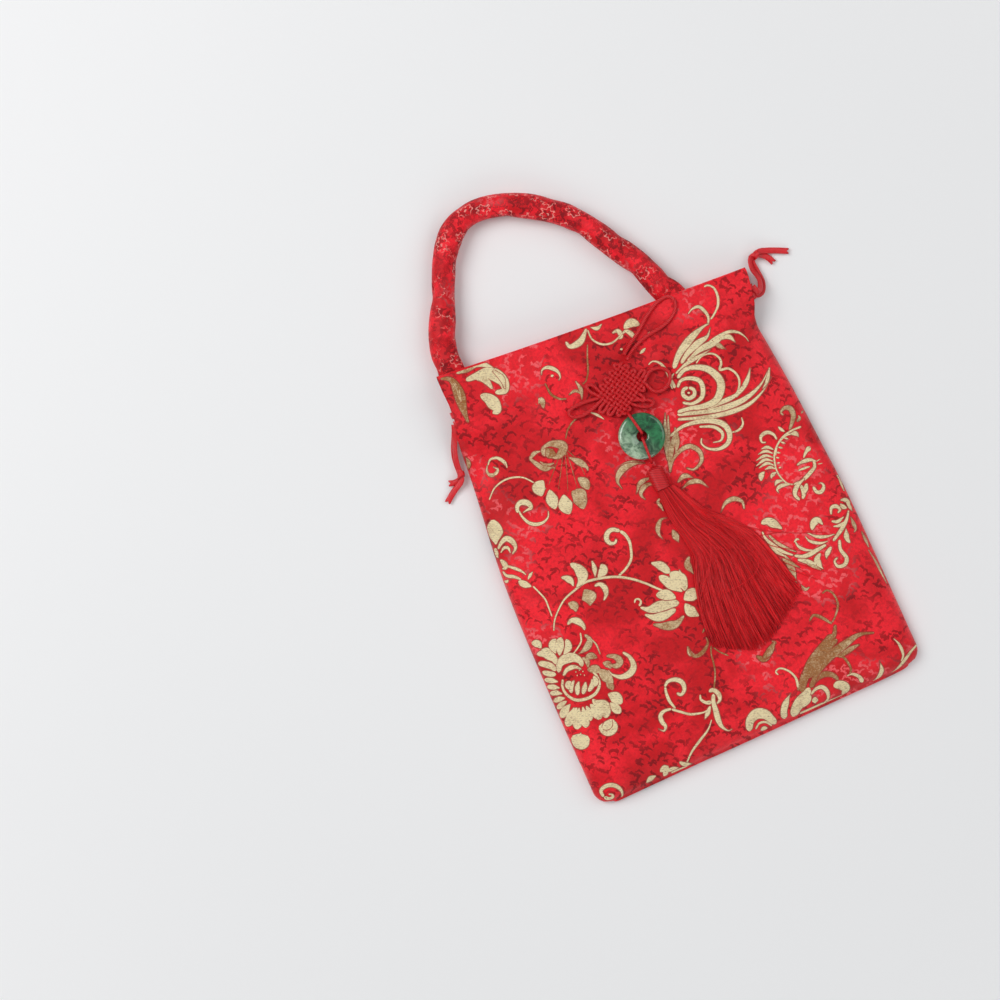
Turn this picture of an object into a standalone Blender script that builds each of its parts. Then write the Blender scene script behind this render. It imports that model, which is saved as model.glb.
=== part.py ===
"""Drawstring pouch of red and gold brocade, lying on its back.

A cloth bag folded at the base and sewn up both sides, with a hem casing on each panel of its mouth,
two ribbon drawstrings, a stuffed handle sewn inside the mouth, and a knotted pendant on the front
with a jade ring and a tassel. Metres, +Z up out of the front, +Y from the base to the handle,
the origin on the flat back in the middle of the bag.
"""
import math

import bmesh
import bpy
from mathutils import Matrix, Vector

# Clearance between pieces that lie on each other
GAP = 0.0003

# Cloth bag
HALF_WIDTH = 0.1043
CENTRE_X = -0.0043
BASE_Y = -0.1305
BASE_TILT = 0.022
BASE_CORNER = 0.009
MOUTH_Y = 0.1270
MOUTH_TILT = -0.0605
MOUTH_RISE = 0.0012
CLOTH = 0.0012
SEAM_DEPTH = 0.0032
BODY_DEPTH = 0.0150
MOUTH_DEPTH = 0.0145
SIDE_ROLL = 0.026
BASE_ROLL = 0.022
SEAM_END = 0.014
MOUTH_FROM = 0.060
MOUTH_TO = 0.110

# Shares of the half width at shares of the height, from the base up to the mouth
LEFT_EDGE = ((0.0, 0.994), (0.28, 0.999), (0.54, 0.985), (0.77, 0.927), (0.88, 0.903), (0.93, 0.868),
             (1.0, 0.870))
RIGHT_EDGE = ((0.0, 1.0), (0.27, 0.990), (0.43, 0.981), (0.54, 0.962), (0.70, 0.933), (0.81, 0.904),
              (0.87, 0.890), (0.90, 0.916), (0.94, 0.935), (1.0, 0.952))

# Casing, the hem tunnel round the mouth that the ribbons run in
CASING_GAP = 0.0018
CASING_Y = 0.0990
CASING_TILT = -0.004
STITCH = 0.0012
STITCH_DIP = 0.0006
STITCH_REACH = 0.0025
HEM = 2 * CLOTH + CASING_GAP
PAST = 0.004
COLUMNS = 32

# Folds and gathers of the front
GATHER = 0.0007
GATHER_PITCH = 0.023
GATHER_REACH = 0.026
DRAPE = 0.0011
DRAPE_PITCH = 0.082
DRAPE_LEAN = (0.75, 0.45)
DRAPE_SHIFT = 0.8
CALM = 0.85
CALM_X = 0.008
CALM_REACH = 0.045

# Stuffed handle
HANDLE_RADIUS = 0.0070
HANDLE_CLOTH = 0.0009
FOOT_WIDTH = 0.0170
FOOT_HEIGHT = 0.0080
FOOT_LEFT_X = -0.0862
FOOT_RIGHT_X = 0.0500
FOOT_DEPTH = 0.022
FOOT_RISE = 0.0046
FOOT_SPREAD = 0.0160
FOOT_FROM = 0.070
FOOT_TO = 0.098
HANDLE_ROUTE = ((-0.0850, 0.1480), (-0.0805, 0.1600), (-0.0750, 0.1720), (-0.0700, 0.1830),
                (-0.0635, 0.1955), (-0.0555, 0.2065), (-0.0465, 0.2130), (-0.0360, 0.2148),
                (-0.0245, 0.2130), (-0.0120, 0.2080), (0.0000, 0.2010), (0.0105, 0.1925),
                (0.0205, 0.1800), (0.0305, 0.1635), (0.0395, 0.1475))
FOOT_FLAT_FROM = -0.002
FOOT_FLAT_TO = 0.022
FOOT_CLEAR = 0.006
HANDLE_STEP = 0.0085
HANDLE_SIDES = 10
FILLING_SIDES = 6

# Ribbon drawstrings
RIBBON_WIDTH = 0.0035
RIBBON_THICK = 0.0005
LEFT_RUN_OFFSET = 0.0060
RIGHT_RUN_OFFSET = 0.0114
TURN_OUT = 0.0016
STRAND_RADIUS = 0.0006
STRAND_STEP = 0.0030
STRAND_GAP = 0.0002
WRAP_RADIUS = 0.0008

# Pendant: cord, knot, ring and tassel
CORD_RADIUS = 0.00085
LOOP_STEP = 0.0042
KNOT_X = 0.0
KNOT_Y = 0.0860
KNOT_TURN = math.radians(30)
KNOT_PITCH = 0.0031
KNOT_ROWS = 6
KNOT_COLUMNS = 8
KNOT_LIFT = 0.0009
KNOT_FLAT = 0.0006
RING_Y = 0.0560
RING_RADIUS = 0.01365
RING_HOLE = 0.0030
RING_THICK = 0.0046
RING_ROUND = 0.0016
RING_STEPS = 28
RING_CORD_X = -0.0022
TASSEL_X = -0.0010
TASSEL_SLACK = 0.0012
NECK_RADIUS = 0.0042
NECK_TIP = 0.0002
NECK_LENGTH = 0.0026
BAND_RADIUS = 0.0052
BAND_LENGTH = 0.0124
BAND_TURNS = 6
BAND_GROOVE = 0.0004
SKIRT_LENGTH = 0.102
SKIRT_THICK = 0.0042
SKIRT_THIN = 0.0016
SKIRT_RIDGES = 9
SKIRT_RIDGE = 0.0005


def smooth(points, at):
    """Value at a place on a smooth curve through (place, value) pairs."""
    if at <= points[0][0]:
        return points[0][1]
    if at >= points[-1][0]:
        return points[-1][1]
    index = next(i for i in range(len(points) - 1) if at <= points[i + 1][0])

    def slope(i):
        low, high = max(i - 1, 0), min(i + 1, len(points) - 1)
        return (points[high][1] - points[low][1]) / (points[high][0] - points[low][0])

    (x0, y0), (x1, y1) = points[index], points[index + 1]
    span = x1 - x0
    t = (at - x0) / span
    return (y0 * (1 + 2 * t) * (1 - t) ** 2 + slope(index) * span * t * (1 - t) ** 2
            + y1 * t * t * (3 - 2 * t) + slope(index + 1) * span * t * t * (t - 1))


def ramp(value, start, end):
    """0 before start, 1 after end, and an even swell between."""
    t = min(max((value - start) / (end - start), 0.0), 1.0)
    return t * t * (3 - 2 * t)


def roll(distance, radius):
    """Quarter round: 0 at the edge, 1 from the radius inwards."""
    return math.sqrt(1 - (1 - min(max(distance / radius, 0.0), 1.0)) ** 2)


def mouth_line(x):
    return MOUTH_Y + MOUTH_TILT * x + MOUTH_RISE * (x / HALF_WIDTH) ** 2


def base_line(x):
    return BASE_Y + BASE_TILT * x


def casing_line(x):
    return CASING_Y + CASING_TILT * x


def corner_inset(rise):
    """How far the rounded lower corners draw the sides in."""
    rest = min(max(BASE_CORNER - rise, 0.0), BASE_CORNER)
    return BASE_CORNER - math.sqrt(BASE_CORNER ** 2 - rest ** 2)


def edge_x(side, y):
    """The bag's left (-1) or right (1) edge at a height."""
    share = (y - BASE_Y) / (MOUTH_Y - BASE_Y)
    x = CENTRE_X + side * HALF_WIDTH * smooth(LEFT_EDGE if side < 0 else RIGHT_EDGE, share)
    return x - side * corner_inset(y - base_line(x))


def folds(x, y):
    """Gathers under the casing and broad soft folds, calm where the pendant lies."""
    fade = math.exp(-((y - CASING_Y) / GATHER_REACH) ** 2)
    gathers = GATHER * math.sin(math.tau * x / GATHER_PITCH) * fade
    calm = 1 - CALM * math.exp(-((x - CALM_X) / CALM_REACH) ** 4)
    slant = DRAPE_LEAN[0] * x + DRAPE_LEAN[1] * y
    drape = DRAPE * math.sin(math.tau * slant / DRAPE_PITCH + DRAPE_SHIFT)
    dip = STITCH_DIP * math.exp(-((y - casing_line(x)) / STITCH_REACH) ** 2)
    return gathers * (0.4 + 0.6 * calm) + drape * calm - dip


def front(x, y):
    """Height of the front's outer face."""
    distance = min(x - edge_x(-1, y), edge_x(1, y) - x)
    side = roll(distance, SIDE_ROLL)
    side += (1 - side) * ramp(y, casing_line(x) - SEAM_END, casing_line(x))
    closed = side * roll(y - base_line(x), BASE_ROLL)
    depth = BODY_DEPTH + (MOUTH_DEPTH - BODY_DEPTH) * ramp(y, MOUTH_FROM, MOUTH_TO)
    for foot in (FOOT_LEFT_X, FOOT_RIGHT_X):
        depth += FOOT_RISE * math.exp(-((x - foot) / FOOT_SPREAD) ** 2) * ramp(y, FOOT_FROM, FOOT_TO)
    return SEAM_DEPTH + (depth - SEAM_DEPTH + folds(x, y)) * closed


def lining(x, y):
    """Height of the front's inner face: a cloth's thickness in from the outer one, on the slopes too."""
    near = min(front(x, y), front(x - CLOTH, y), front(x + CLOTH, y), front(x, y - CLOTH))
    return max(near - CLOTH, 2 * CLOTH)


def highest(x0, x1, y0, y1, steps=8):
    """The front's highest point in a rectangle."""
    return max(front(x0 + (x1 - x0) * i / steps, y0 + (y1 - y0) * j / steps)
               for i in range(steps + 1) for j in range(steps + 1))


def new_collection(name):
    collection = bpy.data.collections.new(name)
    bpy.context.scene.collection.children.link(collection)
    return collection


def material(name, colour, roughness, metallic=0.0):
    mat = bpy.data.materials.new(name)
    mat.use_nodes = True
    shader = mat.node_tree.nodes["Principled BSDF"]
    shader.inputs["Base Color"].default_value = (*colour, 1.0)
    shader.inputs["Roughness"].default_value = roughness
    shader.inputs["Metallic"].default_value = metallic
    return mat


def finish(bm, name, collection, mat=None):
    """Turn a bmesh into a named object with its faces pointing out."""
    bmesh.ops.recalc_face_normals(bm, faces=bm.faces)
    mesh = bpy.data.meshes.new(name)
    bm.to_mesh(mesh)
    bm.free()
    obj = bpy.data.objects.new(name, mesh)
    collection.objects.link(obj)
    if mat:
        mesh.materials.append(mat)
    return obj


def slab(name, collection, columns, rows, place, low, high, mat=None):
    """Closed slab over a grid: place(s, t) gives x and y, low and high the heights of its two faces."""
    bm = bmesh.new()
    bmesh.ops.create_grid(bm, x_segments=columns, y_segments=rows, size=0.5)
    spots = {vert: place(vert.co.x + 0.5, vert.co.y + 0.5) for vert in bm.verts}
    top = bmesh.ops.extrude_face_region(bm, geom=bm.faces[:], use_keep_orig=True)["geom"]
    upper = [item for item in top if isinstance(item, bmesh.types.BMVert)]
    for vert in upper:
        x, y = place(vert.co.x + 0.5, vert.co.y + 0.5)
        vert.co = Vector((x, y, high(x, y)))
    for vert, (x, y) in spots.items():
        vert.co = Vector((x, y, low(x, y)))
    return finish(bm, name, collection, mat)


def cut(obj, cutter):
    modifier = obj.modifiers.new(cutter.name, "BOOLEAN")
    modifier.operation = "DIFFERENCE"
    modifier.object = cutter
    cutter.hide_render = True
    cutter.display_type = "WIRE"


def eased(t, share=0.7):
    """Grid share with closer lines near both edges."""
    return (1 - share) * t + share * (0.5 - 0.5 * math.cos(math.pi * t))


def bag_place(below, inset=0.0):
    """Grid shares to x and y: a share of the rows up to the casing line, the rest up to the mouth."""
    def place(s, t):
        s = eased(s)
        x_guess = CENTRE_X + (2 * s - 1) * HALF_WIDTH
        low, middle, high = base_line(x_guess) + inset, casing_line(x_guess), mouth_line(x_guess)
        if t <= below:
            y = low + (middle - low) * eased(t / below)
        else:
            y = middle + (high - middle) * (t - below) / (1 - below)
        left, right = edge_x(-1, y - inset) + inset, edge_x(1, y - inset) - inset
        return left + (right - left) * s, y
    return place


def strip_place(low_line, high_line, past):
    """The bag's own columns over a strip across the mouth, with the end ones moved past the sides."""
    def place(s, t):
        outwards = past * (round(s) * 2 - 1) if min(s, 1 - s) < 0.001 else 0.0
        s = eased(s)
        x_guess = CENTRE_X + (2 * s - 1) * HALF_WIDTH
        low, high = low_line(x_guess), high_line(x_guess)
        y = low + (high - low) * t
        left, right = edge_x(-1, y), edge_x(1, y)
        return left + (right - left) * s + outwards, y
    return place


def make_cloth(parts, cutters):
    """The bag: outer form less its inside, its mouth and the two casing tunnels."""
    red = material("red brocade", (0.62, 0.02, 0.03), 0.45)
    bag = slab("pouch_cloth", parts, COLUMNS, 29, bag_place(25 / 29), lambda x, y: 0.0, front, red)

    inside = slab("cut_inside", cutters, 20, 18, bag_place(1.0, CLOTH),
                  lambda x, y: CLOTH, lining)
    mouth = slab("cut_mouth", cutters, COLUMNS, 4,
                 strip_place(lambda x: casing_line(x) - CLOTH, lambda x: mouth_line(x) + PAST, PAST),
                 lambda x, y: HEM, lambda x, y: front(x, y) - HEM)
    tunnel = strip_place(lambda x: casing_line(x) + STITCH, lambda x: mouth_line(x) - CLOTH, PAST)
    front_tunnel = slab("cut_front_tunnel", cutters, COLUMNS, 4, tunnel,
                        lambda x, y: front(x, y) - CLOTH - CASING_GAP, lambda x, y: front(x, y) - CLOTH)
    back_tunnel = slab("cut_back_tunnel", cutters, 16, 2, tunnel,
                       lambda x, y: CLOTH, lambda x, y: CLOTH + CASING_GAP)
    for cutter in (inside, mouth, front_tunnel, back_tunnel):
        cut(bag, cutter)
    plain = bag.modifiers.new("flat faces", "DECIMATE")
    plain.decimate_type = "DISSOLVE"
    plain.angle_limit = math.radians(0.05)
    return bag


def resample(route, step):
    """Points at an even step on a smooth curve through the route's own points."""
    points = [Vector(p) for p in route]
    ends = [2 * points[0] - points[1]] + points + [2 * points[-1] - points[-2]]
    fine = []
    for a, b, c, d in zip(ends, ends[1:], ends[2:], ends[3:]):
        for k in range(16):
            t = k / 16
            fine.append(0.5 * (2 * b + (c - a) * t + (2 * a - 5 * b + 4 * c - d) * t * t
                               + (3 * b - a - 3 * c + d) * t ** 3))
    fine.append(points[-1])
    total = sum((q - p).length for p, q in zip(fine, fine[1:]))
    count = max(2, round(total / step))
    even, walked, k = [fine[0]], 0.0, 0
    for n in range(1, count):
        target = total * n / count
        while walked + (fine[k + 1] - fine[k]).length < target:
            walked += (fine[k + 1] - fine[k]).length
            k += 1
        run = fine[k + 1] - fine[k]
        even.append(fine[k] + run * ((target - walked) / run.length))
    return even + [fine[-1]]


def tube(name, parts, points, radius, mat, closed=False, sides=8):
    """Round cord along a row of points."""
    curve = bpy.data.curves.new(name, "CURVE")
    curve.dimensions = "3D"
    spline = curve.splines.new("POLY")
    spline.points.add(len(points) - 1)
    for item, point in zip(spline.points, points):
        item.co = (*point, 1.0)
    spline.use_cyclic_u = closed
    curve.bevel_depth = radius
    curve.bevel_resolution = (sides - 4) // 2
    curve.use_fill_caps = not closed
    obj = bpy.data.objects.new(name, curve)
    parts.objects.link(obj)
    curve.materials.append(mat)
    return obj


def loft(name, parts, rings, mat, caps=True):
    """Skin between rings of points, closed at both ends or left open."""
    bm = bmesh.new()
    loops = [[bm.verts.new(p) for p in ring] for ring in rings]
    for one, two in zip(loops, loops[1:]):
        for i in range(len(one)):
            j = (i + 1) % len(one)
            bm.faces.new((one[i], one[j], two[j], two[i]))
    if caps:
        bm.faces.new(loops[0][::-1])
        bm.faces.new(loops[-1])
    return finish(bm, name, parts, mat)


def handle_spots():
    """Centre, flattening and width of the handle from foot to foot."""
    left_y, right_y = mouth_line(FOOT_LEFT_X), mouth_line(FOOT_RIGHT_X)
    inside = HEM + GAP + FOOT_HEIGHT / 2
    flat = [(x, y, HANDLE_RADIUS) for x, y in HANDLE_ROUTE]
    route = [(FOOT_LEFT_X - 0.0006, left_y - FOOT_DEPTH, inside), (FOOT_LEFT_X, left_y - 0.008, inside),
             (FOOT_LEFT_X + 0.0002, left_y + 0.004, inside)]
    route += flat
    route += [(FOOT_RIGHT_X - 0.0050, right_y + 0.009, inside), (FOOT_RIGHT_X - 0.0010, right_y, inside),
              (FOOT_RIGHT_X + 0.0015, right_y - 0.009, inside),
              (FOOT_RIGHT_X + 0.0030, right_y - FOOT_DEPTH, inside)]
    return resample(route, HANDLE_STEP)


def handle_rings(spots, sides, inset=0.0):
    """Sections that are round on the arch and flattened where they go into the mouth."""
    rings = []
    for i, spot in enumerate(spots):
        ahead = spots[min(i + 1, len(spots) - 1)] - spots[max(i - 1, 0)]
        across = Vector((ahead.y, -ahead.x, 0)).normalized()
        out = ramp(spot.y - mouth_line(spot.x), FOOT_FLAT_FROM, FOOT_FLAT_TO)
        width = (FOOT_WIDTH / 2 + (HANDLE_RADIUS - FOOT_WIDTH / 2) * out) - inset
        height = (FOOT_HEIGHT / 2 + (HANDLE_RADIUS - FOOT_HEIGHT / 2) * out) - inset
        centre = Vector((spot.x, spot.y, max(spot.z, height + inset)))
        over = spot.y - mouth_line(spot.x)
        if over > FOOT_CLEAR:
            centre.z = height + inset + (HEM + GAP) * (1 - ramp(over, 0.002, 0.020))
        rings.append([centre + across * (width * math.cos(a)) + Vector((0, 0, height * math.sin(a)))
                      for a in (math.tau * k / sides for k in range(sides))])
    return rings


def make_handle(parts):
    """Stuffed fabric tube: an open-ended cover round a soft filling."""
    spots = handle_spots()
    cover = loft("handle_cover", parts, handle_rings(spots, HANDLE_SIDES),
                 material("red brocade handle", (0.60, 0.02, 0.03), 0.5), caps=False)
    wall = cover.modifiers.new("cloth", "SOLIDIFY")
    wall.thickness = HANDLE_CLOTH
    wall.offset = -1
    loft("handle_filling", parts, handle_rings(spots[1:-1], FILLING_SIDES, HANDLE_CLOTH + 2 * GAP),
         material("white wadding", (0.85, 0.83, 0.78), 0.9))


def strip(name, parts, route, across, width, thickness, mat):
    """Flat ribbon: an open band along a route, given its thickness."""
    bm = bmesh.new()
    bmesh.ops.create_grid(bm, x_segments=len(route) - 1, y_segments=1, size=0.5)
    last = len(route) - 1
    for vert in bm.verts:
        point = route[round((vert.co.x + 0.5) * last)]
        vert.co = Vector(point) + Vector(across) * (width * vert.co.y)
    obj = finish(bm, name, parts, mat)
    body = obj.modifiers.new("ribbon", "SOLIDIFY")
    body.thickness = thickness
    body.offset = 0
    return obj


def run_route(side, offset):
    """A drawstring's way through the casing: in by the front, round the far side, out by the back."""
    steps = 48
    spots = []
    for k in range(steps + 1):
        share = k / steps
        y_guess = casing_line(side * HALF_WIDTH * (1 - 2 * share)) + offset
        near, far = edge_x(side, y_guess), edge_x(-side, y_guess)
        x = near + (far - near) * share
        spots.append((x, casing_line(x) + offset))
    middle = CLOTH + CASING_GAP / 2
    over = [(x, y, front(x, y) - middle) for x, y in spots]
    under = [(x, y, middle) for x, y in spots[::6]]
    x, y = spots[-1]
    out = -side * TURN_OUT
    top, low = over[-1][2], under[-1][2]
    turn = [(x + 0.75 * out, y, top - 0.0007), (x + out, y, top - 0.0020), (x + out, y, low + 0.0020),
            (x + 0.75 * out, y, low + 0.0007)]
    return over + turn + under[::-1]


def make_drawstrings(parts):
    """Two ribbons, each looped round the mouth, with both its ends out of one side and knotted."""
    red = material("red satin ribbon", (0.66, 0.02, 0.03), 0.3)
    routes = {"left": (-1, LEFT_RUN_OFFSET), "right": (1, RIGHT_RUN_OFFSET)}
    for name, (side, offset) in routes.items():
        run = run_route(side, offset)
        strip(f"drawstring_{name}_run", parts, run, (0, 1, 0), RIBBON_WIDTH, RIBBON_THICK, red)
        make_ends(name, side, run, parts, red)


# Routes of the ribbons' free ends, from the casing to their cut ends
LEFT_LONG = ((-0.0992, 0.0985, 0.0125), (-0.1019, 0.0925, 0.0080), (-0.1034, 0.0880, 0.0054),
             (-0.1044, 0.0830, 0.0043), (-0.1050, 0.0777, 0.0041), (-0.1062, 0.0738, 0.0036),
             (-0.1125, 0.0700, 0.0017), (-0.1186, 0.0655, 0.0012))
LEFT_SHORT = ((-0.0998, 0.0985, 0.0030), (-0.1023, 0.0935, 0.0027), (-0.1040, 0.0885, 0.0026),
              (-0.1047, 0.0830, 0.0026), (-0.1050, 0.0777, 0.0027), (-0.1064, 0.0752, 0.0018),
              (-0.1098, 0.0746, 0.0012), (-0.1134, 0.0756, 0.0012))
RIGHT_LONG = ((0.0958, 0.1062, 0.0108), (0.0986, 0.1080, 0.0085), (0.1000, 0.1130, 0.0062),
              (0.0988, 0.1195, 0.0049), (0.1000, 0.1250, 0.0044), (0.1033, 0.1266, 0.0041),
              (0.1075, 0.1274, 0.0034), (0.1150, 0.1248, 0.0017), (0.1230, 0.1210, 0.0013))
RIGHT_SHORT = ((0.0950, 0.1052, 0.0028), (0.0990, 0.1052, 0.0024), (0.1016, 0.1105, 0.0020),
               (0.1012, 0.1180, 0.0018), (0.1008, 0.1240, 0.0024), (0.1033, 0.1266, 0.0027),
               (0.1075, 0.1252, 0.0014), (0.1105, 0.1222, 0.0012), (0.1124, 0.1182, 0.0012))
WRAP_PLACE = {"left": (-0.1050, 0.0777, 0.0034, 78), "right": (0.1033, 0.1266, 0.0034, 18)}


def make_ends(name, side, run, parts, mat):
    """Two free ends and the knot that ties them, drawn as a band round both."""
    long_route, short_route = (LEFT_LONG, LEFT_SHORT) if side < 0 else (RIGHT_LONG, RIGHT_SHORT)
    out = Vector((side * (GAP + STRAND_RADIUS), 0, 0))
    for end, start, route in (("a", run[0], long_route), ("b", run[-1], short_route)):
        points = resample([Vector(start) + out, *route], STRAND_STEP)
        tube(f"drawstring_{name}_strand_{end}", parts, points, STRAND_RADIUS, mat)
    x, y, z, turn = WRAP_PLACE[name]
    bm = bmesh.new()
    bmesh.ops.create_circle(bm, cap_ends=False, segments=6, radius=WRAP_RADIUS)
    inner = 2 * STRAND_RADIUS + GAP + STRAND_GAP / 2
    bmesh.ops.translate(bm, verts=bm.verts, vec=(inner + WRAP_RADIUS, 0, 0))
    bmesh.ops.rotate(bm, verts=bm.verts, matrix=rotation(90, "X"))
    bmesh.ops.spin(bm, geom=bm.verts[:] + bm.edges[:], axis=(0, 0, 1), cent=(0, 0, 0),
                   steps=12, angle=math.tau, use_merge=True, dvec=(0, 0, 0))
    bmesh.ops.remove_doubles(bm, verts=bm.verts, dist=0.00002)
    bmesh.ops.rotate(bm, verts=bm.verts, matrix=rotation(90, "X"))
    bmesh.ops.rotate(bm, verts=bm.verts, matrix=rotation(turn - 90, "Z"))
    bmesh.ops.translate(bm, verts=bm.verts, vec=(x, y, z))
    finish(bm, f"drawstring_{name}_knot", parts, mat)


def rotation(degrees, axis):
    return Matrix.Rotation(math.radians(degrees), 3, axis)


def knot_spot(u, v, z):
    """A place in the knot's own turned grid."""
    c, s = math.cos(KNOT_TURN), math.sin(KNOT_TURN)
    return Vector((KNOT_X + u * c - v * s, KNOT_Y + u * s + v * c, z))


def ear(start, end, out, reach, bulge=0.0, lean=0.0):
    """A loop that the cord makes outside the weave, from one strand's end to the next one's start."""
    middle, half = (start + end) / 2, (start - end) / 2
    along = half.normalized()
    steps = 5 if reach < 2 * KNOT_PITCH else 9
    points = []
    for k in range(1, steps):
        a = math.pi * k / steps
        sweep = half * math.cos(a) + along * (bulge * math.sin(a) * math.cos(a) + lean * math.sin(a))
        points.append(middle + sweep + out * (reach * math.sin(a)))
    return points


# Reach, bulge and lean of the loops that stand out; the others are plain turns
ROW_EARS = {0: (0.0150, 0.0046, 0.0085), 1: (0.0060, 0.0010, 0.0), 3: (0.0040, 0.0004, 0.0),
            4: (0.0044, 0.0004, 0.0)}
COLUMN_EARS = {3: (0.0044, 0.0004, 0.0), 4: (0.0095, 0.0026, 0.0050), 6: (0.0072, 0.0016, 0.0)}
PLAIN_EAR = (0.0019, 0.0, 0.0)
WING = ((0.0065, 0.0016), (0.0112, -0.0022), (0.0118, -0.0078), (0.0070, -0.0112), (0.0012, -0.0105),
        (-0.0020, -0.0062))
EAR_START = 0.0016


def knot_route(height, ring_end):
    """One cord that weaves all the rows, then all the columns, over and under by turns."""
    half_u = (KNOT_COLUMNS - 1) / 2 * KNOT_PITCH
    half_v = (KNOT_ROWS - 1) / 2 * KNOT_PITCH
    edge_u, edge_v = half_u + EAR_START, half_v + EAR_START
    columns = [half_u - j * KNOT_PITCH for j in range(KNOT_COLUMNS)]
    rows = [half_v - i * KNOT_PITCH for i in range(KNOT_ROWS)]
    u_out = knot_spot(1, 0, 0) - knot_spot(0, 0, 0)
    v_out = knot_spot(0, 1, 0) - knot_spot(0, 0, 0)
    points = [knot_spot(edge_u + KNOT_PITCH / 2, rows[0], height)]
    for i, v in enumerate(rows):
        way = -1 if i % 2 == 0 else 1
        for j in (range(KNOT_COLUMNS) if way < 0 else reversed(range(KNOT_COLUMNS))):
            z = height + KNOT_LIFT * (1 if (i + j) % 2 == 0 else -1)
            points += [knot_spot(columns[j] - way * KNOT_FLAT, v, z),
                       knot_spot(columns[j] + way * KNOT_FLAT, v, z)]
        if i < KNOT_ROWS - 1:
            here, there = knot_spot(way * edge_u, v, height), knot_spot(way * edge_u, rows[i + 1], height)
            points += [here] + ear(here, there, u_out * way, *ROW_EARS.get(i, PLAIN_EAR)) + [there]
    corner = (edge_u, -edge_v)
    points.append(knot_spot(edge_u, rows[-1], height))
    points += [knot_spot(corner[0] + du, corner[1] + dv, height) for du, dv in WING]
    for j, u in enumerate(columns):
        way = 1 if j % 2 == 0 else -1
        if j == 0:
            points.append(knot_spot(u, -edge_v, height))
        for i in (reversed(range(KNOT_ROWS)) if way > 0 else range(KNOT_ROWS)):
            z = height - KNOT_LIFT * (1 if (i + j) % 2 == 0 else -1)
            points += [knot_spot(u, rows[i] - way * KNOT_FLAT, z),
                       knot_spot(u, rows[i] + way * KNOT_FLAT, z)]
        if j < KNOT_COLUMNS - 1:
            here = knot_spot(u, way * edge_v, height)
            there = knot_spot(columns[j + 1], way * edge_v, height)
            points += [here] + ear(here, there, v_out * way, *COLUMN_EARS.get(j, PLAIN_EAR)) + [there]
    last = knot_spot(columns[-1], -edge_v, height + KNOT_LIFT)
    stop = ring_end + (last - ring_end).normalized() * (CORD_RADIUS + GAP)
    return points + [last, stop]


def link_route(x_hole, y_hole, x_end, way, height, slack=0.0):
    """Closed loop of cord through the ring's hole and round its rim, towards +Y (1) or -Y (-1)."""
    rise = RING_THICK / 2 + GAP + CORD_RADIUS
    rim = RING_Y + way * RING_RADIUS
    end = rim + way * (2 * GAP + CORD_RADIUS + slack)
    half = [(y_hole, 0.35 * rise), (y_hole + way * 0.0009, rise), ((y_hole + rim) / 2, rise),
            (rim - way * 0.0021, rise), (rim + way * 0.0003, 0.76 * rise)]
    path = half + [(end, 0.0)] + [(y, -h) for y, h in reversed(half)]
    return [Vector((x_hole + (x_end - x_hole) * (y - y_hole) / (end - y_hole), y, height + h))
            for y, h in path]


def make_ring(parts, height):
    """Turned stone ring with rounded faces: the profile runs down its outer side."""
    bm = bmesh.new()
    half = RING_THICK / 2
    profile = [(RING_HOLE, half - 0.0004), (RING_HOLE + 0.0005, half)]
    for k in range(5):
        a = math.radians(90 - 22.5 * k)
        profile.append((RING_RADIUS - RING_ROUND + RING_ROUND * math.cos(a),
                        half - RING_ROUND + RING_ROUND * math.sin(a)))
    profile += [(r, -z) for r, z in reversed(profile)]
    verts = [bm.verts.new((r, 0, z)) for r, z in profile]
    for a, b in zip(verts, verts[1:] + verts[:1]):
        bm.edges.new((a, b))
    mesh = bpy.data.meshes.new("jade_ring")
    bm.to_mesh(mesh)
    bm.free()
    ring = bpy.data.objects.new("jade_ring", mesh)
    parts.objects.link(ring)
    ring.location = (0, RING_Y, height)
    turn = ring.modifiers.new("turn", "SCREW")
    turn.steps = turn.render_steps = RING_STEPS
    turn.use_merge_vertices = True
    turn.merge_threshold = 0.00001
    mesh.materials.append(material("green jade", (0.02, 0.22, 0.10), 0.15))


def turned(name, parts, start, length, radius, height, mat, steps, sides=12):
    """Round body along -Y, pressed to the tassel's own height: radius(s) is its profile."""
    rings = []
    for k in range(steps + 1):
        s = length * k / steps
        wide = radius(s / length)
        tall = min(wide, NECK_RADIUS)
        rings.append([Vector((TASSEL_X + wide * math.cos(a), start - s, height + tall * math.sin(a)))
                      for a in (math.tau * n / sides for n in range(sides))])
    return loft(name, parts, rings, mat)


# The skirt's left and right edges at shares of its length, and its length at shares of its width
SKIRT_LEFT = ((0.0, -0.0046), (0.18, -0.0040), (0.33, -0.0010), (0.45, 0.0000), (0.60, -0.0050),
              (0.80, -0.0090), (1.0, -0.0100))
SKIRT_RIGHT = ((0.0, 0.0060), (0.15, 0.0130), (0.25, 0.0180), (0.35, 0.0270), (0.50, 0.0370),
               (0.70, 0.0430), (0.90, 0.0475), (1.0, 0.0500))
SKIRT_ENDS = ((0.0, 0.94), (0.40, 1.05), (0.65, 0.98), (0.85, 0.90), (1.0, 0.84))


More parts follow.
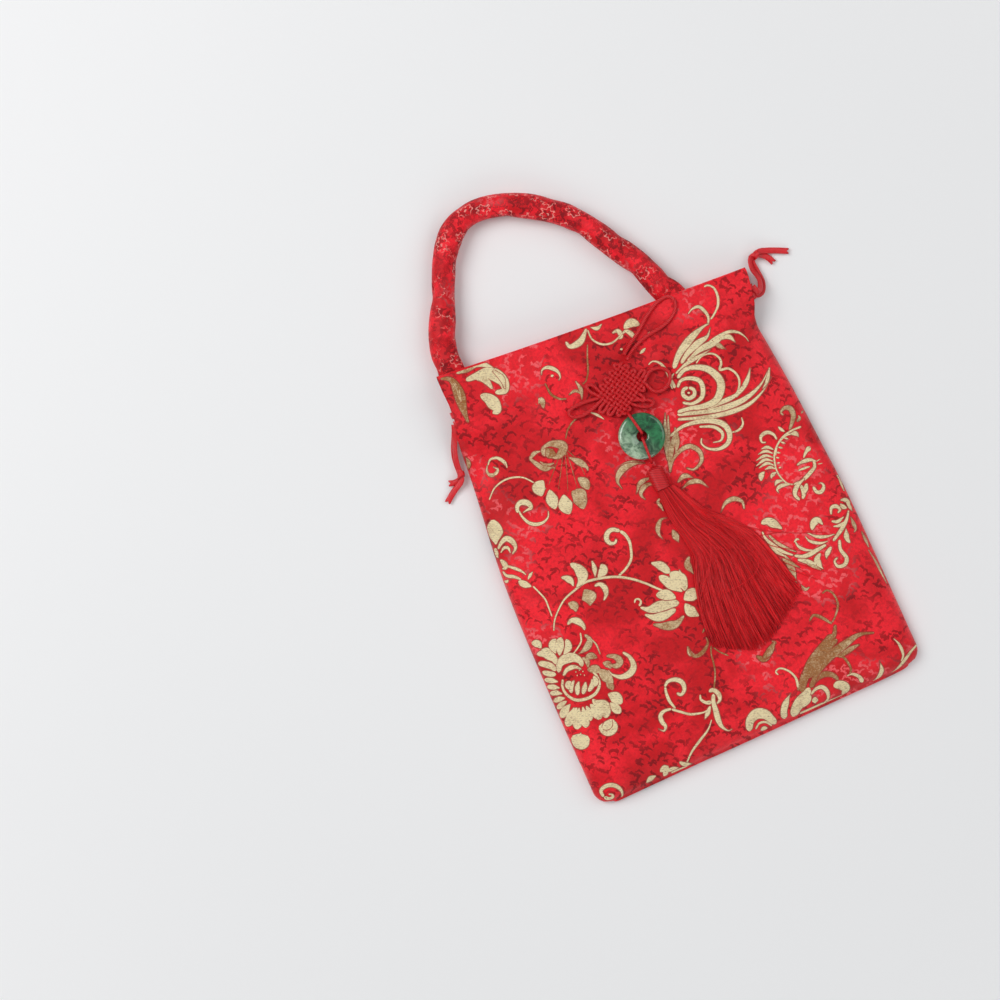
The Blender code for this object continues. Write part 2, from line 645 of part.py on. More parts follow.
def make_skirt(parts, start, height, mat):
    """Fan of threads as one thick, ridged sheet that lies on the front."""
    def place(s, t):
        x = smooth(SKIRT_LEFT, t) + (smooth(SKIRT_RIGHT, t) - smooth(SKIRT_LEFT, t)) * s
        return x, start - SKIRT_LENGTH * t * smooth(SKIRT_ENDS, s)

    def under(x, y):
        near = ramp(y, start - 0.030, start)
        return (front(x, y) + GAP) * (1 - near) + max(height - NECK_RADIUS, front(x, y) + GAP) * near

    def over(x, y):
        t = (start - y) / SKIRT_LENGTH
        left, right = smooth(SKIRT_LEFT, t), smooth(SKIRT_RIGHT, t)
        s = min(max((x - left) / (right - left), 0.0), 1.0)
        thick = SKIRT_THICK + (2 * NECK_RADIUS - SKIRT_THICK - 0.001) * (1 - ramp(t, 0.0, 0.10))
        thick += (SKIRT_THIN - thick) * ramp(t, 0.05, 0.45)
        crown = 0.45 + 0.55 * math.sqrt(max(1 - (2 * s - 1) ** 2, 0.0))
        return under(x, y) + thick * crown + SKIRT_RIDGE * math.sin(math.tau * SKIRT_RIDGES * s)

    slab("tassel_skirt", parts, 3 * SKIRT_RIDGES, 9, place, under, over, mat)


def make_pendant(parts):
    """Hanging loop, woven knot, jade ring on its cord, and the tassel on its own cord."""
    red = material("red knotting cord", (0.55, 0.01, 0.02), 0.55)
    silk = material("red silk thread", (0.50, 0.01, 0.02), 0.4)
    knot_z = highest(-0.031, 0.028, 0.068, 0.106) + GAP + KNOT_LIFT + CORD_RADIUS
    ring_z = (highest(-0.014, 0.014, 0.040, 0.072) + 2 * GAP + 2 * CORD_RADIUS + RING_THICK / 2)

    ring_link = link_route(0.0006, RING_Y + 0.0014, RING_CORD_X, 1, ring_z)
    tassel_link = link_route(-0.0004, RING_Y - 0.0014, TASSEL_X, -1, ring_z, TASSEL_SLACK)
    tube("pendant_knot", parts, knot_route(knot_z, ring_link[5]), CORD_RADIUS, red, sides=6)
    tube("ring_cord", parts, ring_link, CORD_RADIUS, red, closed=True)
    tube("tassel_cord", parts, tassel_link, CORD_RADIUS, red, closed=True)
    make_ring(parts, ring_z)

    loop = []
    for x, y in HANGING_ROUTE:
        loop.append((x, y, front(x, y) + GAP + CORD_RADIUS + 0.0002))
    start, end = loop[0], loop[-1]
    loop[0] = (*start[:2], knot_z + KNOT_LIFT)
    loop[-1] = (*end[:2], knot_z + KNOT_LIFT)
    tube("hanging_loop", parts, resample(loop, LOOP_STEP), CORD_RADIUS, red)

    top = tassel_link[5].y - CORD_RADIUS - GAP
    turned("tassel_neck", parts, top, NECK_LENGTH,
           lambda s: NECK_TIP + (NECK_RADIUS - NECK_TIP) * ramp(s, 0.0, 1.0) ** 1.2, ring_z, red, 6)
    band_start = top - NECK_LENGTH - GAP
    turned("tassel_band", parts, band_start, BAND_LENGTH,
           lambda s: BAND_RADIUS - BAND_GROOVE * (1 + math.cos(math.tau * BAND_TURNS * s)),
           ring_z, silk, 3 * BAND_TURNS)
    make_skirt(parts, band_start - BAND_LENGTH - GAP, ring_z, silk)


# The hanging loop's way over the front, from the knot's top and back to it
HANGING_ROUTE = ((0.0096, 0.0998), (0.0160, 0.1042), (0.0250, 0.1076), (0.0380, 0.1098),
                 (0.0455, 0.1140), (0.0482, 0.1195), (0.0455, 0.1238), (0.0390, 0.1232),
                 (0.0310, 0.1188), (0.0230, 0.1125), (0.0160, 0.1080), (0.0092, 0.1032))


def main():
    for obj in list(bpy.data.objects):
        bpy.data.objects.remove(obj, do_unlink=True)
    parts = new_collection("drawstring_pouch")
    cutters = new_collection("cutters")
    make_cloth(parts, cutters)
    make_handle(parts)
    make_drawstrings(parts)
    make_pendant(parts)


main()
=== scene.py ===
"""Looks of the red and gold brocade drawstring pouch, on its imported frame.

Cloth with a woven gold pattern, a stuffed handle, satin ribbons, and a pendant with a woven knot,
a jade ring and a silk tassel. Metres, +Z up out of the front, +Y from the base to the handle.
"""
import math
import random

import bmesh
import bpy
from bpy.props import FloatProperty, FloatVectorProperty, IntProperty, PointerProperty
from mathutils import Matrix, Vector


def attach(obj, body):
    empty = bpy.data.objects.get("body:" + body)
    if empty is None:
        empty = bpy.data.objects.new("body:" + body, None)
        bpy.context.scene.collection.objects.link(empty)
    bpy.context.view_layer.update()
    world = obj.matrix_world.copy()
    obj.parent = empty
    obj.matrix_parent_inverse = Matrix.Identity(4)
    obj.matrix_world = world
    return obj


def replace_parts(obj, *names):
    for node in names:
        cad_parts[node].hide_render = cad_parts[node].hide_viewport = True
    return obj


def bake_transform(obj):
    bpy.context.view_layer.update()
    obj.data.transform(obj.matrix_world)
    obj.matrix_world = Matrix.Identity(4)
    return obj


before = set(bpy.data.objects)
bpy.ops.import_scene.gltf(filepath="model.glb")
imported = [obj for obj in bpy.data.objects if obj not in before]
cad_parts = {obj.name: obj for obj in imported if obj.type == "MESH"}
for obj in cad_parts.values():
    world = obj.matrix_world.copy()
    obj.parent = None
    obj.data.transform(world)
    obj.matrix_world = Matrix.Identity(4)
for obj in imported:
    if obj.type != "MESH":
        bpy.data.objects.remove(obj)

bl_info = {
    "name": "Brocade Drawstring Pouch",
    "version": (1, 0, 0),
    "blender": (4, 5, 0),
    "location": "3D View > Sidebar > Pouch",
    "description": "Builds the cloth, cords, ring and tassel of a brocade drawstring pouch",
    "category": "Object",
}

# Outline and depth of the bag, the same as the frame's
HALF_WIDTH = 0.1043
CENTRE_X = -0.0043
BASE_Y = -0.1305
BASE_TILT = 0.022
BASE_CORNER = 0.009
MOUTH_Y = 0.1270
MOUTH_TILT = -0.0605
MOUTH_RISE = 0.0012
CLOTH = 0.0012
SEAM_DEPTH = 0.0032
BODY_DEPTH = 0.0150
MOUTH_DEPTH = 0.0145
SIDE_ROLL = 0.026
BASE_ROLL = 0.022
SEAM_END = 0.014
MOUTH_FROM = 0.060
MOUTH_TO = 0.110
LEFT_EDGE = ((0.0, 0.994), (0.28, 0.999), (0.54, 0.985), (0.77, 0.927), (0.88, 0.903), (0.93, 0.868),
             (1.0, 0.870))
RIGHT_EDGE = ((0.0, 1.0), (0.27, 0.990), (0.43, 0.981), (0.54, 0.962), (0.70, 0.933), (0.81, 0.904),
              (0.87, 0.890), (0.90, 0.916), (0.94, 0.935), (1.0, 0.952))
CASING_GAP = 0.0018
CASING_Y = 0.0990
CASING_TILT = -0.004
HEM = 2 * CLOTH + CASING_GAP
STITCH_DIP = 0.0006
STITCH_REACH = 0.0025
GATHER = 0.0007
GATHER_PITCH = 0.023
GATHER_REACH = 0.026
DRAPE = 0.0011
DRAPE_PITCH = 0.082
DRAPE_LEAN = (0.75, 0.45)
DRAPE_SHIFT = 0.8
CALM = 0.85
CALM_X = 0.008
CALM_REACH = 0.045
FOOT_LEFT_X = -0.0862
FOOT_RIGHT_X = 0.0500
FOOT_RISE = 0.0046
FOOT_SPREAD = 0.0160
FOOT_FROM = 0.070
FOOT_TO = 0.098

# The photograph's framing: its middle on the bag, its width, and the bag's turn in it
VIEW_X = -0.0897
VIEW_Y = 0.0548
VIEW_WIDTH = 0.580
VIEW_TURN = -23.5
VIEW_LENS = 85.0
VIEW_SENSOR = 36.0
VIEW_LEVEL = 0.012
FLOOR_DROP = 0.0006
FLOOR_FADE = (260, 950)


def colour(text):
    """Linear colour of an sRGB hex value."""
    parts = [int(text[i:i + 2], 16) / 255 for i in (1, 3, 5)]
    return tuple(c / 12.92 if c <= 0.04045 else ((c + 0.055) / 1.055) ** 2.4 for c in parts) + (1.0,)


def smooth(points, at):
    """Value at a place on a smooth curve through (place, value) pairs."""
    if at <= points[0][0]:
        return points[0][1]
    if at >= points[-1][0]:
        return points[-1][1]
    index = next(i for i in range(len(points) - 1) if at <= points[i + 1][0])

    def slope(i):
        low, high = max(i - 1, 0), min(i + 1, len(points) - 1)
        return (points[high][1] - points[low][1]) / (points[high][0] - points[low][0])

    (x0, y0), (x1, y1) = points[index], points[index + 1]
    span = x1 - x0
    t = (at - x0) / span
    return (y0 * (1 + 2 * t) * (1 - t) ** 2 + slope(index) * span * t * (1 - t) ** 2
            + y1 * t * t * (3 - 2 * t) + slope(index + 1) * span * t * t * (t - 1))


def ramp(value, start, end):
    """0 before start, 1 after end, and an even swell between."""
    t = min(max((value - start) / (end - start), 0.0), 1.0)
    return t * t * (3 - 2 * t)


def roll(distance, radius):
    """Quarter round: 0 at the edge, 1 from the radius inwards."""
    return math.sqrt(1 - (1 - min(max(distance / radius, 0.0), 1.0)) ** 2)


def mouth_line(x):
    """The mouth's edge at a place across the bag."""
    return MOUTH_Y + MOUTH_TILT * x + MOUTH_RISE * (x / HALF_WIDTH) ** 2


def base_line(x):
    """The base's fold at a place across the bag."""
    return BASE_Y + BASE_TILT * x


def casing_line(x):
    """The casing's stitching at a place across the bag."""
    return CASING_Y + CASING_TILT * x


def corner_inset(rise):
    """How far the rounded lower corners draw the sides in."""
    rest = min(max(BASE_CORNER - rise, 0.0), BASE_CORNER)
    return BASE_CORNER - math.sqrt(BASE_CORNER ** 2 - rest ** 2)


def edge_x(side, y):
    """The bag's left (-1) or right (1) edge at a height."""
    share = (y - BASE_Y) / (MOUTH_Y - BASE_Y)
    x = CENTRE_X + side * HALF_WIDTH * smooth(LEFT_EDGE if side < 0 else RIGHT_EDGE, share)
    return x - side * corner_inset(y - base_line(x))


def calm_share(x):
    """1 where the cloth may fold, less where the pendant lies."""
    return 1 - CALM * math.exp(-((x - CALM_X) / CALM_REACH) ** 4)


def folds(x, y):
    """Gathers under the casing and broad soft folds, calm where the pendant lies."""
    gathers = GATHER * math.sin(math.tau * x / GATHER_PITCH) * math.exp(-((y - CASING_Y) / GATHER_REACH) ** 2)
    calm = calm_share(x)
    along = DRAPE_LEAN[0] * x + DRAPE_LEAN[1] * y
    drape = DRAPE * math.sin(math.tau * along / DRAPE_PITCH + DRAPE_SHIFT)
    dip = STITCH_DIP * math.exp(-((y - casing_line(x)) / STITCH_REACH) ** 2)
    return gathers * (0.4 + 0.6 * calm) + drape * calm - dip


def front(x, y):
    """Height of the frame's front face."""
    distance = min(x - edge_x(-1, y), edge_x(1, y) - x)
    side = roll(distance, SIDE_ROLL)
    side += (1 - side) * ramp(y, casing_line(x) - SEAM_END, casing_line(x))
    closed = side * roll(y - base_line(x), BASE_ROLL)
    depth = BODY_DEPTH + (MOUTH_DEPTH - BODY_DEPTH) * ramp(y, MOUTH_FROM, MOUTH_TO)
    for foot in (FOOT_LEFT_X, FOOT_RIGHT_X):
        depth += FOOT_RISE * math.exp(-((x - foot) / FOOT_SPREAD) ** 2) * ramp(y, FOOT_FROM, FOOT_TO)
    return SEAM_DEPTH + (depth - SEAM_DEPTH + folds(x, y)) * closed


def add(tree, kind, inputs=None, **settings):
    """New node with its settings, and its inputs as values or links."""
    node = tree.nodes.new(kind)
    for key, value in settings.items():
        setattr(node, key, value)
    for key, value in (inputs or {}).items():
        if isinstance(value, bpy.types.NodeSocket):
            tree.links.new(value, node.inputs[key])
        else:
            node.inputs[key].default_value = value
    return node


def calc(tree, operation, *values, clamp=False):
    """Math node's output."""
    return add(tree, "ShaderNodeMath", dict(enumerate(values)), operation=operation,
               use_clamp=clamp).outputs[0]


def blend_colour(tree, share, one, two):
    """Mix of two colours."""
    node = add(tree, "ShaderNodeMix", data_type="RGBA")
    for index, value in ((0, share), (6, one), (7, two)):
        if isinstance(value, bpy.types.NodeSocket):
            tree.links.new(value, node.inputs[index])
        else:
            node.inputs[index].default_value = value
    return node.outputs[2]


def step_of(tree, value, start, end):
    """Even step from 0 to 1 between two values."""
    return add(tree, "ShaderNodeMapRange", {"Value": value, "From Min": start, "From Max": end},
               interpolation_type="SMOOTHSTEP").outputs[0]


def new_material(name):
    """New material with its node tree and its shader."""
    mat = bpy.data.materials.new(name)
    mat.use_nodes = True
    return mat, mat.node_tree, mat.node_tree.nodes["Principled BSDF"]


def join(tree, shader, base=None, rough=None, bump=None, strength=0.5, distance=0.0002):
    """Links a finished colour, roughness and height into the shader."""
    if base is not None:
        tree.links.new(base, shader.inputs["Base Color"])
    if rough is not None:
        tree.links.new(rough, shader.inputs["Roughness"])
    if bump is not None:
        node = add(tree, "ShaderNodeBump", {"Height": bump, "Strength": strength, "Distance": distance})
        tree.links.new(node.outputs[0], shader.inputs["Normal"])


def place_of(tree, source):
    """Coordinates in millimetres: the object's own, or its UV map's, which holds metres."""
    coords = add(tree, "ShaderNodeTexCoord").outputs[source]
    return add(tree, "ShaderNodeVectorMath", {0: coords, 1: (1000, 1000, 1000)},
               operation="MULTIPLY").outputs[0]


def weave(tree, place, pitch):
    """Height of crossing threads, a pitch apart in millimetres."""
    split = add(tree, "ShaderNodeSeparateXYZ", {0: place})
    warp = calc(tree, "SINE", calc(tree, "MULTIPLY", split.outputs[0], math.tau / pitch))
    lean = calc(tree, "ADD", calc(tree, "MULTIPLY", split.outputs[1], math.tau / pitch),
                calc(tree, "MULTIPLY", split.outputs[0], 0.5 * math.tau / pitch))
    weft = calc(tree, "SINE", lean)
    return calc(tree, "MULTIPLY_ADD", calc(tree, "MULTIPLY", warp, weft), 0.5, 0.5)


def new_object(bm, name, mat, body, shade=True):
    """Finished piece of a bmesh, riding on a body of the frame."""
    bmesh.ops.recalc_face_normals(bm, faces=bm.faces)
    mesh = bpy.data.meshes.new(name)
    bm.to_mesh(mesh)
    bm.free()
    if shade:
        mesh.shade_smooth()
    obj = bpy.data.objects.new(name, mesh)
    bpy.context.scene.collection.objects.link(obj)
    if mat:
        mesh.materials.append(mat)
    if body:
        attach(obj, body)
    return obj


# Creases that the frame's face leaves out: their heights, reaches and pitches
PUCKER = 0.00035
PUCKER_REACH = 0.012
LEFT_PITCH = 0.0125
RIGHT_PITCH = 0.0145
PINCH = 0.00034
PINCH_PITCH = 0.0088
PINCH_REACH = 0.011
BROAD_CREASE = 0.00050
FINE_CREASE = 0.00028
SEAM_GROOVE = 0.0010
SEAM_GROOVE_REACH = 0.0011
SEAM_LINE = ((-0.040, 0.0985), (-0.020, 0.0945), (0.0, 0.0922), (0.015, 0.0902), (0.030, 0.0882),
             (0.045, 0.0872), (0.062, 0.0838))
SEAM_FROM = (-0.040, -0.022)
SEAM_TO = (0.050, 0.064)


def creases(x, y):
    """Puckers along the side seams, pinches under the stitching, soft creases, and the right side's seam,
    which shows on the front where the cloth has rolled over."""
    left, right = x - edge_x(-1, y), edge_x(1, y) - x
    low = ramp(y, BASE_Y + 0.010, BASE_Y + 0.040) * (1 - ramp(y, CASING_Y - SEAM_END, CASING_Y))
    near_left, near_right = (math.exp(-(reach / PUCKER_REACH) ** 2) for reach in (left, right))
    height = PUCKER * math.sin(math.tau * (y + 0.25 * x) / LEFT_PITCH) * near_left * low
    height += PUCKER * math.sin(math.tau * (y - 0.2 * x) / RIGHT_PITCH + 1) * near_right * low
    pinch = math.sin(math.tau * (x + 0.0015 * math.sin(x * 260)) / PINCH_PITCH) + 0.5 * math.sin(x * 1130 + 2)
    height += PINCH * pinch * math.exp(-((y - casing_line(x) + 0.002) / PINCH_REACH) ** 2)
    height += BROAD_CREASE * math.sin(31 * x + 47 * y + 1.3) * math.sin(52 * x - 23 * y) * ramp(left, 0, 0.02)
    height += FINE_CREASE * math.sin(95 * x + 40 * y) * math.sin(70 * y - 55 * x + 2)
    groove = math.exp(-((x - smooth(SEAM_LINE, y)) / SEAM_GROOVE_REACH) ** 2)
    groove *= ramp(y, *SEAM_FROM) * (1 - ramp(y, *SEAM_TO))
    return height * calm_share(x) - SEAM_GROOVE * groove


# The uncut cloth, with its seam allowances and both hems, and how it closes along the sewn sides
SEAM_ROLL = 0.006
SEAM_GAP = 0.0001


def open_share(y):
    """1 where the sides are left open above the casing's stitching, 0 where they are sewn up."""
    return ramp(y, CASING_Y - SEAM_END, CASING_Y)


def skin(x, y):
    """Height of the finished front, which everything woven or lying on it follows."""
    distance = min(x - edge_x(-1, y), edge_x(1, y) - x)
    inner = roll(distance, 0.012) * roll(y - base_line(x), 0.010)
    return front(x, y) + creases(x, y) * inner - back_skin(x, y)


def back_skin(x, y):
    """Height of the finished back, which rises to meet the front along the sewn sides."""
    distance = min(x - edge_x(-1, y), edge_x(1, y) - x)
    return (1 - roll(distance, SEAM_ROLL)) * (1 - open_share(y)) * (SEAM_DEPTH / 2 - SEAM_GAP)


# Rows and columns of the cloth's mesh, the steps round a fold and up a hem, and how far the hem reaches
# below the casing's stitching
CLOTH_ROWS = 104
CLOTH_COLUMNS = 92
FOLD_STEPS = 6
HEM_STEPS = 5
HEM_PAST = 0.0015


def cloth_shell():
    """One sheet: up inside the front's hem, over the mouth, down the front, round the base and back up."""
    bm = bmesh.new()
    radius = HEM / 2
    grid = []
    for i in range(CLOTH_COLUMNS + 1):
        even = i / CLOTH_COLUMNS
        s = 0.25 * even + 0.75 * (0.5 - 0.5 * math.cos(math.pi * even))
        x_guess = CENTRE_X + (2 * s - 1) * HALF_WIDTH
        low, high = base_line(x_guess), mouth_line(x_guess) - radius
        column, back = [], []
        for j in range(CLOTH_ROWS + 1):
            t = j / CLOTH_ROWS
            upper = 0.55 * t + 0.45 * (0.5 - 0.5 * math.cos(math.pi * t))
            share = upper if t > 0.5 else t * t * 0.6 + t * 0.7
            y = low + (high - low) * share
            left, right = edge_x(-1, y), edge_x(1, y)
            x = left + (right - left) * s
            column.append(Vector((x, y, skin(x, y))))
            back.append(Vector((x, y, back_skin(x, y))))
        top, bottom = column[-1], back[-1]
        rows = []
        hem_low = casing_line(top.x) - HEM_PAST
        for k in range(HEM_STEPS, 0, -1):
            y = high + (hem_low - high) * k / HEM_STEPS
            x = edge_x(-1, y) + (edge_x(1, y) - edge_x(-1, y)) * s
            rows.append(Vector((x, y, front(x, y) - HEM)))
        for k in range(FOLD_STEPS, 0, -1):
            a = math.pi * k / FOLD_STEPS
            rows.append(top + Vector((0, radius * math.sin(a), -radius + radius * math.cos(a))))
        rows += column[::-1]
        start, end = column[0], back[0]
        half = (start.z - end.z) / 2
        for k in range(1, 4):
            a = math.pi * k / 4
            rows.append(Vector((start.x, start.y - 0.8 * half * math.sin(a),
                                end.z + half + half * math.cos(a))))
        rows += back
        for k in range(1, FOLD_STEPS + 1):
            a = math.pi * k / FOLD_STEPS
            rows.append(bottom + Vector((0, radius * math.sin(a), radius - radius * math.cos(a))))
        for k in range(1, HEM_STEPS + 1):
            y = high + (hem_low - high) * k / HEM_STEPS
            x = edge_x(-1, y) + (edge_x(1, y) - edge_x(-1, y)) * s
            rows.append(Vector((x, y, HEM)))
        grid.append([bm.verts.new(p) for p in rows])
    for one, two in zip(grid, grid[1:]):
        for k in range(len(one) - 1):
            bm.faces.new((one[k], one[k + 1], two[k + 1], two[k]))
    edges = [vert for vert in grid[0] + grid[-1] if vert.co.y < CASING_Y - 0.013 and vert.co.z < 0.0045]
    bmesh.ops.remove_doubles(bm, verts=edges, dist=0.00026)
    return bm


def flower_cells(tree, place, scale, petals, reach, size):
    """Small woven flowers, one in each cell: a petalled outline with a dot in its middle."""
    cells = add(tree, "ShaderNodeTexVoronoi", {"Vector": place, "Scale": scale, "Randomness": 0.7},
                voronoi_dimensions="2D")
    offset = add(tree, "ShaderNodeVectorMath", {0: place, 1: cells.outputs["Position"]},
                 operation="SUBTRACT").outputs[0]
    parts = add(tree, "ShaderNodeSeparateXYZ", {0: offset})
    angle = calc(tree, "ARCTAN2", parts.outputs[1], parts.outputs[0])
    length = add(tree, "ShaderNodeVectorMath", {0: offset}, operation="LENGTH").outputs["Value"]
    rim = calc(tree, "MULTIPLY_ADD", calc(tree, "COSINE", calc(tree, "MULTIPLY", angle, petals)), reach, size)
    apart = calc(tree, "ABSOLUTE", calc(tree, "SUBTRACT", length, rim))
    outline = calc(tree, "SUBTRACT", 1.0, step_of(tree, apart, 0.22, 0.5))
    heart = calc(tree, "SUBTRACT", 1.0, step_of(tree, length, 0.5, 0.8))
    return calc(tree, "MAXIMUM", outline, heart)


def leaf_cells(tree, place, scale, lean, long, bow):
    """Small curved leaves, one in each cell."""
    cells = add(tree, "ShaderNodeTexVoronoi", {"Vector": place, "Scale": scale, "Randomness": 0.95},
                voronoi_dimensions="2D")
    offset = add(tree, "ShaderNodeVectorMath", {0: place, 1: cells.outputs["Position"]},
                 operation="SUBTRACT").outputs[0]
    parts = add(tree, "ShaderNodeSeparateXYZ", {0: offset})
    one = calc(tree, "MULTIPLY_ADD", parts.outputs[1], math.sin(lean),
               calc(tree, "MULTIPLY", parts.outputs[0], math.cos(lean)))
    two = calc(tree, "MULTIPLY_ADD", parts.outputs[1], math.cos(lean),
               calc(tree, "MULTIPLY", parts.outputs[0], -math.sin(lean)))
    bend = calc(tree, "ABSOLUTE", calc(tree, "MULTIPLY_ADD", calc(tree, "MULTIPLY", one, one), bow, two))
    width = calc(tree, "SUBTRACT", 1.0, step_of(tree, bend, 0.50, 0.95))
    return calc(tree, "MULTIPLY", width,
                calc(tree, "SUBTRACT", 1.0, step_of(tree, calc(tree, "ABSOLUTE", one), long * 0.8, long)))


def brocade_ground(name, source="Object", painted_light_scale=0.026, curls=0.0):
    """Woven silk brocade's red satin ground: bright and smooth, with small flowers and leaves that show
    only by their deeper red and duller thread, and broad patches of painted highlight, a brighter red where
    the silk would take the light."""
    mat, tree, shader = new_material(name)
    place = place_of(tree, source)
    bent = add(tree, "ShaderNodeTexNoise", {"Vector": place, "Scale": 0.22, "Detail": 2.0})
    shift = add(tree, "ShaderNodeVectorMath", {0: bent.outputs["Color"], 1: (0.5, 0.5, 0.5)},
                operation="SUBTRACT")
    shift = add(tree, "ShaderNodeVectorMath", {0: shift.outputs[0], 1: (3.4, 3.4, 0.0)}, operation="MULTIPLY")
    soft = add(tree, "ShaderNodeVectorMath", {0: place, 1: shift.outputs[0]}, operation="ADD").outputs[0]
    fine = add(tree, "ShaderNodeTexNoise", {"Vector": place, "Scale": 0.7, "Detail": 1.0})
    shift = add(tree, "ShaderNodeVectorMath", {0: fine.outputs["Color"], 1: (0.5, 0.5, 0.5)},
                operation="SUBTRACT")
    shift = add(tree, "ShaderNodeVectorMath", {0: shift.outputs[0], 1: (2.4, 2.4, 0.0)}, operation="MULTIPLY")
    soft = add(tree, "ShaderNodeVectorMath", {0: soft, 1: shift.outputs[0]}, operation="ADD").outputs[0]
    flower = calc(tree, "MAXIMUM", flower_cells(tree, soft, 0.105, 5.0, 0.7, 2.0),
                  flower_cells(tree, soft, 0.150, 4.0, 0.45, 1.2))
    leaves = ((0.120, 0.5, 2.6, 0.16), (0.135, 2.2, 2.0, -0.22), (0.110, -0.7, 3.0, 0.10))
    for scale, lean, long, bow in leaves:
        flower = calc(tree, "MAXIMUM", flower, leaf_cells(tree, soft, scale, lean, long, bow))
    where = add(tree, "ShaderNodeTexNoise", {"Vector": place, "Scale": 0.045, "Detail": 3.0,
                                             "Roughness": 0.55})
    shown = step_of(tree, where.outputs["Fac"], 0.34, 0.55)
    # Broad painted highlight patches: the satin and the figures are painted a brighter red where the silk
    # would take the light
    broad = add(tree, "ShaderNodeTexNoise", {"Vector": place, "Scale": painted_light_scale, "Detail": 2.5, "Roughness": 0.6,
                                             "Distortion": 0.6})
    painted_light = step_of(tree, broad.outputs["Fac"], 0.36, 0.64)
    speckle = add(tree, "ShaderNodeTexNoise", {"Vector": place, "Scale": 0.55, "Detail": 4.0,
                                               "Roughness": 0.7})
    threads = weave(tree, place, 0.42)
    # Painted highlight: each red turns brighter inside the painted light patches
    satin = blend_colour(tree, painted_light, colour("#CC0712"), colour("#FF1F2E"))
    deep = blend_colour(tree, painted_light, colour("#760009"), colour("#A8050F"))
    glow = add(tree, "ShaderNodeTexNoise", {"Vector": place, "Scale": 0.021, "Detail": 1.0})
    deep = blend_colour(tree, step_of(tree, glow.outputs["Fac"], 0.56, 0.66), deep, colour("#FF6468"))
    share = calc(tree, "MULTIPLY", flower, calc(tree, "MULTIPLY_ADD", shown, 0.80, 0.20))
    base = blend_colour(tree, share, satin, deep)
    grain = step_of(tree, speckle.outputs["Fac"], 0.40, 0.68)
    base = blend_colour(tree, calc(tree, "MULTIPLY", grain, 0.30), base, colour("#8C0510"))
    # Painted highlight on the crowns of the woven threads
    base = blend_colour(tree, calc(tree, "MULTIPLY", threads, 0.14), base, colour("#FF4650"))
    if curls:
        line = flower_cells(tree, soft, 0.078, 7.0, 0.7, 3.6)
        line = calc(tree, "MULTIPLY", line, step_of(tree, where.outputs["Fac"], 0.42, 0.54))
        base = blend_colour(tree, calc(tree, "MULTIPLY", line, curls), base, colour("#F8A79C"))
    rough = calc(tree, "MULTIPLY_ADD", share, 0.20, calc(tree, "MULTIPLY_ADD", painted_light, -0.06, 0.42))
    height = calc(tree, "ADD", calc(tree, "MULTIPLY", threads, 0.45), calc(tree, "MULTIPLY", flower, 0.5))
    join(tree, shader, base, rough, height, 0.5, 0.0002)
    shader.inputs["Specular IOR Level"].default_value = 0.22
    return mat


# Millimetres of the gold weft: from rib to rib, from row to row of ties, and from tie to tie
GOLD_RIB = 0.5
TIE_ROW = 1.3
TIE_PITCH = 2.4


